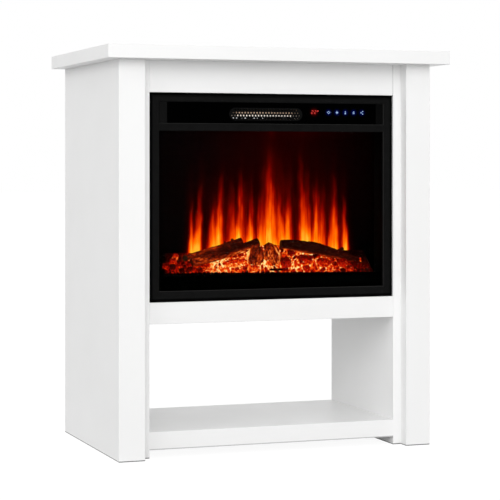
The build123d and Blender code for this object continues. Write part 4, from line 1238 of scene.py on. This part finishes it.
def litFinish(name, colour, glow):
    finish, tree, shader = newFinish(name, grey(0.0), 0.4, 0.0)
    flicker = grain(places(tree), display["flickerSize"])
    feed(shader, Emission_Color=(*colour, 1))
    feed(shader, Emission_Strength=fromNoise(flicker, glow * display["flickerLeast"], glow))
    return finish


def strokeShape(points, width, closed=False):
    shapes = []
    ends = points + points[:1] if closed else points
    for start, end in zip(ends, ends[1:]):
        run = Vector((end[0] - start[0], end[1] - start[1]))
        side = Vector((-run.y, run.x)).normalized() * width / 2
        lap = run.normalized() * width / 2 if closed else Vector((0, 0))
        a, b = Vector(start) - lap, Vector(end) + lap
        shapes.append([a + side, b + side, b - side, a - side])
    return shapes


def ringPoints(middle, radius, sides):
    turns = [math.tau * step / sides for step in range(sides)]
    return [(middle[0] + radius * math.cos(turn), middle[1] + radius * math.sin(turn)) for turn in turns]


def discShape(middle, radius):
    return [Vector(point) for point in ringPoints(middle, radius, display["discSides"])]


def litPiece(name, shapes, finish):
    shaped = bmesh.new()
    lift = symbols["lift"]
    for shape in shapes:
        front = [shaped.verts.new((spot.x, paneFace - lift, spot.y)) for spot in shape]
        back = [shaped.verts.new((spot.x, paneFace, spot.y)) for spot in shape]
        shaped.faces.new(front)
        shaped.faces.new(back[::-1])
        for step in range(len(shape)):
            after = (step + 1) % len(shape)
            shaped.faces.new((front[after], front[step], back[step], back[after]))
    bmesh.ops.recalc_face_normals(shaped, faces=shaped.faces)
    mesh = bpy.data.meshes.new(name)
    shaped.to_mesh(mesh)
    shaped.free()
    return putPiece(name, mesh, [finish])


# each symbol is drawn in shares of its half size
def symbolShapes(kind, x, z):
    half, stroke = symbols["half"], symbols["stroke"]

    def at(across, up):
        return (x + across * half, z + up * half)

    def line(start, end, thick):
        return strokeShape([at(*start), at(*end)], stroke * thick)

    if kind == "eye":
        return strokeShape([at(-1, 0), at(0, 0.85), at(1, 0), at(0, -0.85)], stroke, True)
    if kind == "sun":
        shapes = strokeShape([at(*point) for point in ringPoints((0, 0), 0.55, 8)], stroke, True)
        shapes.append(discShape(at(0, 0), half * 0.3))
        for start, end in zip(ringPoints((0, 0), 0.6, 4), ringPoints((0, 0), 1, 4)):
            shapes += line(start, end, 0.8)
        return shapes
    if kind == "thermometer":
        return [discShape(at(0, -0.65), half * 0.42)] + line((0, -0.6), (0, 1.05), 1.3)
    if kind == "timer":
        shapes = []
        for wide, up in ((0.28, 0.95), (0.45, 0.45), (0.45, -0.1), (0.45, -0.65)):
            shapes += line((-wide, up), (wide, up), 0.85)
        for side in (-0.4, 0.4):
            shapes += line((side, 0.5), (side, -0.9), 0.8)
        return shapes
    dots = [at(-0.7, 0), at(0.6, 0.85), at(0.6, -0.85)]
    twigs = strokeShape([dots[1], dots[0], dots[2]], stroke * 0.7)
    return [discShape(dot, half * 0.3) for dot in dots] + twigs


def digitShapes(digit, left):
    wide, tall = reading["digitWide"], reading["digitTall"]
    low, stroke, slant = reading["low"], reading["stroke"], reading["slant"]

    def at(across, up):
        return (left + across * wide + slant * up * tall, low + up * tall)

    shapes = []
    for bar in litBars[digit]:
        (x0, z0), (x1, z1) = digitBars[bar]
        trimX, trimZ = (x1 - x0) * reading["trim"], (z1 - z0) * reading["trim"]
        shapes += strokeShape([at(x0 + trimX, z0 + trimZ), at(x1 - trimX, z1 - trimZ)], stroke)
    return shapes


def buildDisplay():
    blue = litFinish("symbolLight", symbols["core"], symbols["coreGlow"])
    red = litFinish("readingLight", reading["colour"], reading["glow"])
    for index, kind in enumerate(symbols["kinds"]):
        litPiece("symbol_" + kind, symbolShapes(kind, symbolX(index), symbols["z"]), blue)
    left = reading["left"]
    for place, digit in enumerate(reading["text"]):
        litPiece("reading_digit_" + str(place + 1), digitShapes(digit, left), red)
        left += reading["digitWide"] + reading["gap"]
    degree = (left + reading["degreeOff"], reading["low"] + reading["digitTall"] * reading["degreeHigh"])
    ring = ringPoints(degree, reading["degreeRadius"], reading["degreeSides"])
    litPiece("reading_degree", strokeShape(ring, reading["degreeStroke"], True), red)


buildDisplay()
print("display lit")
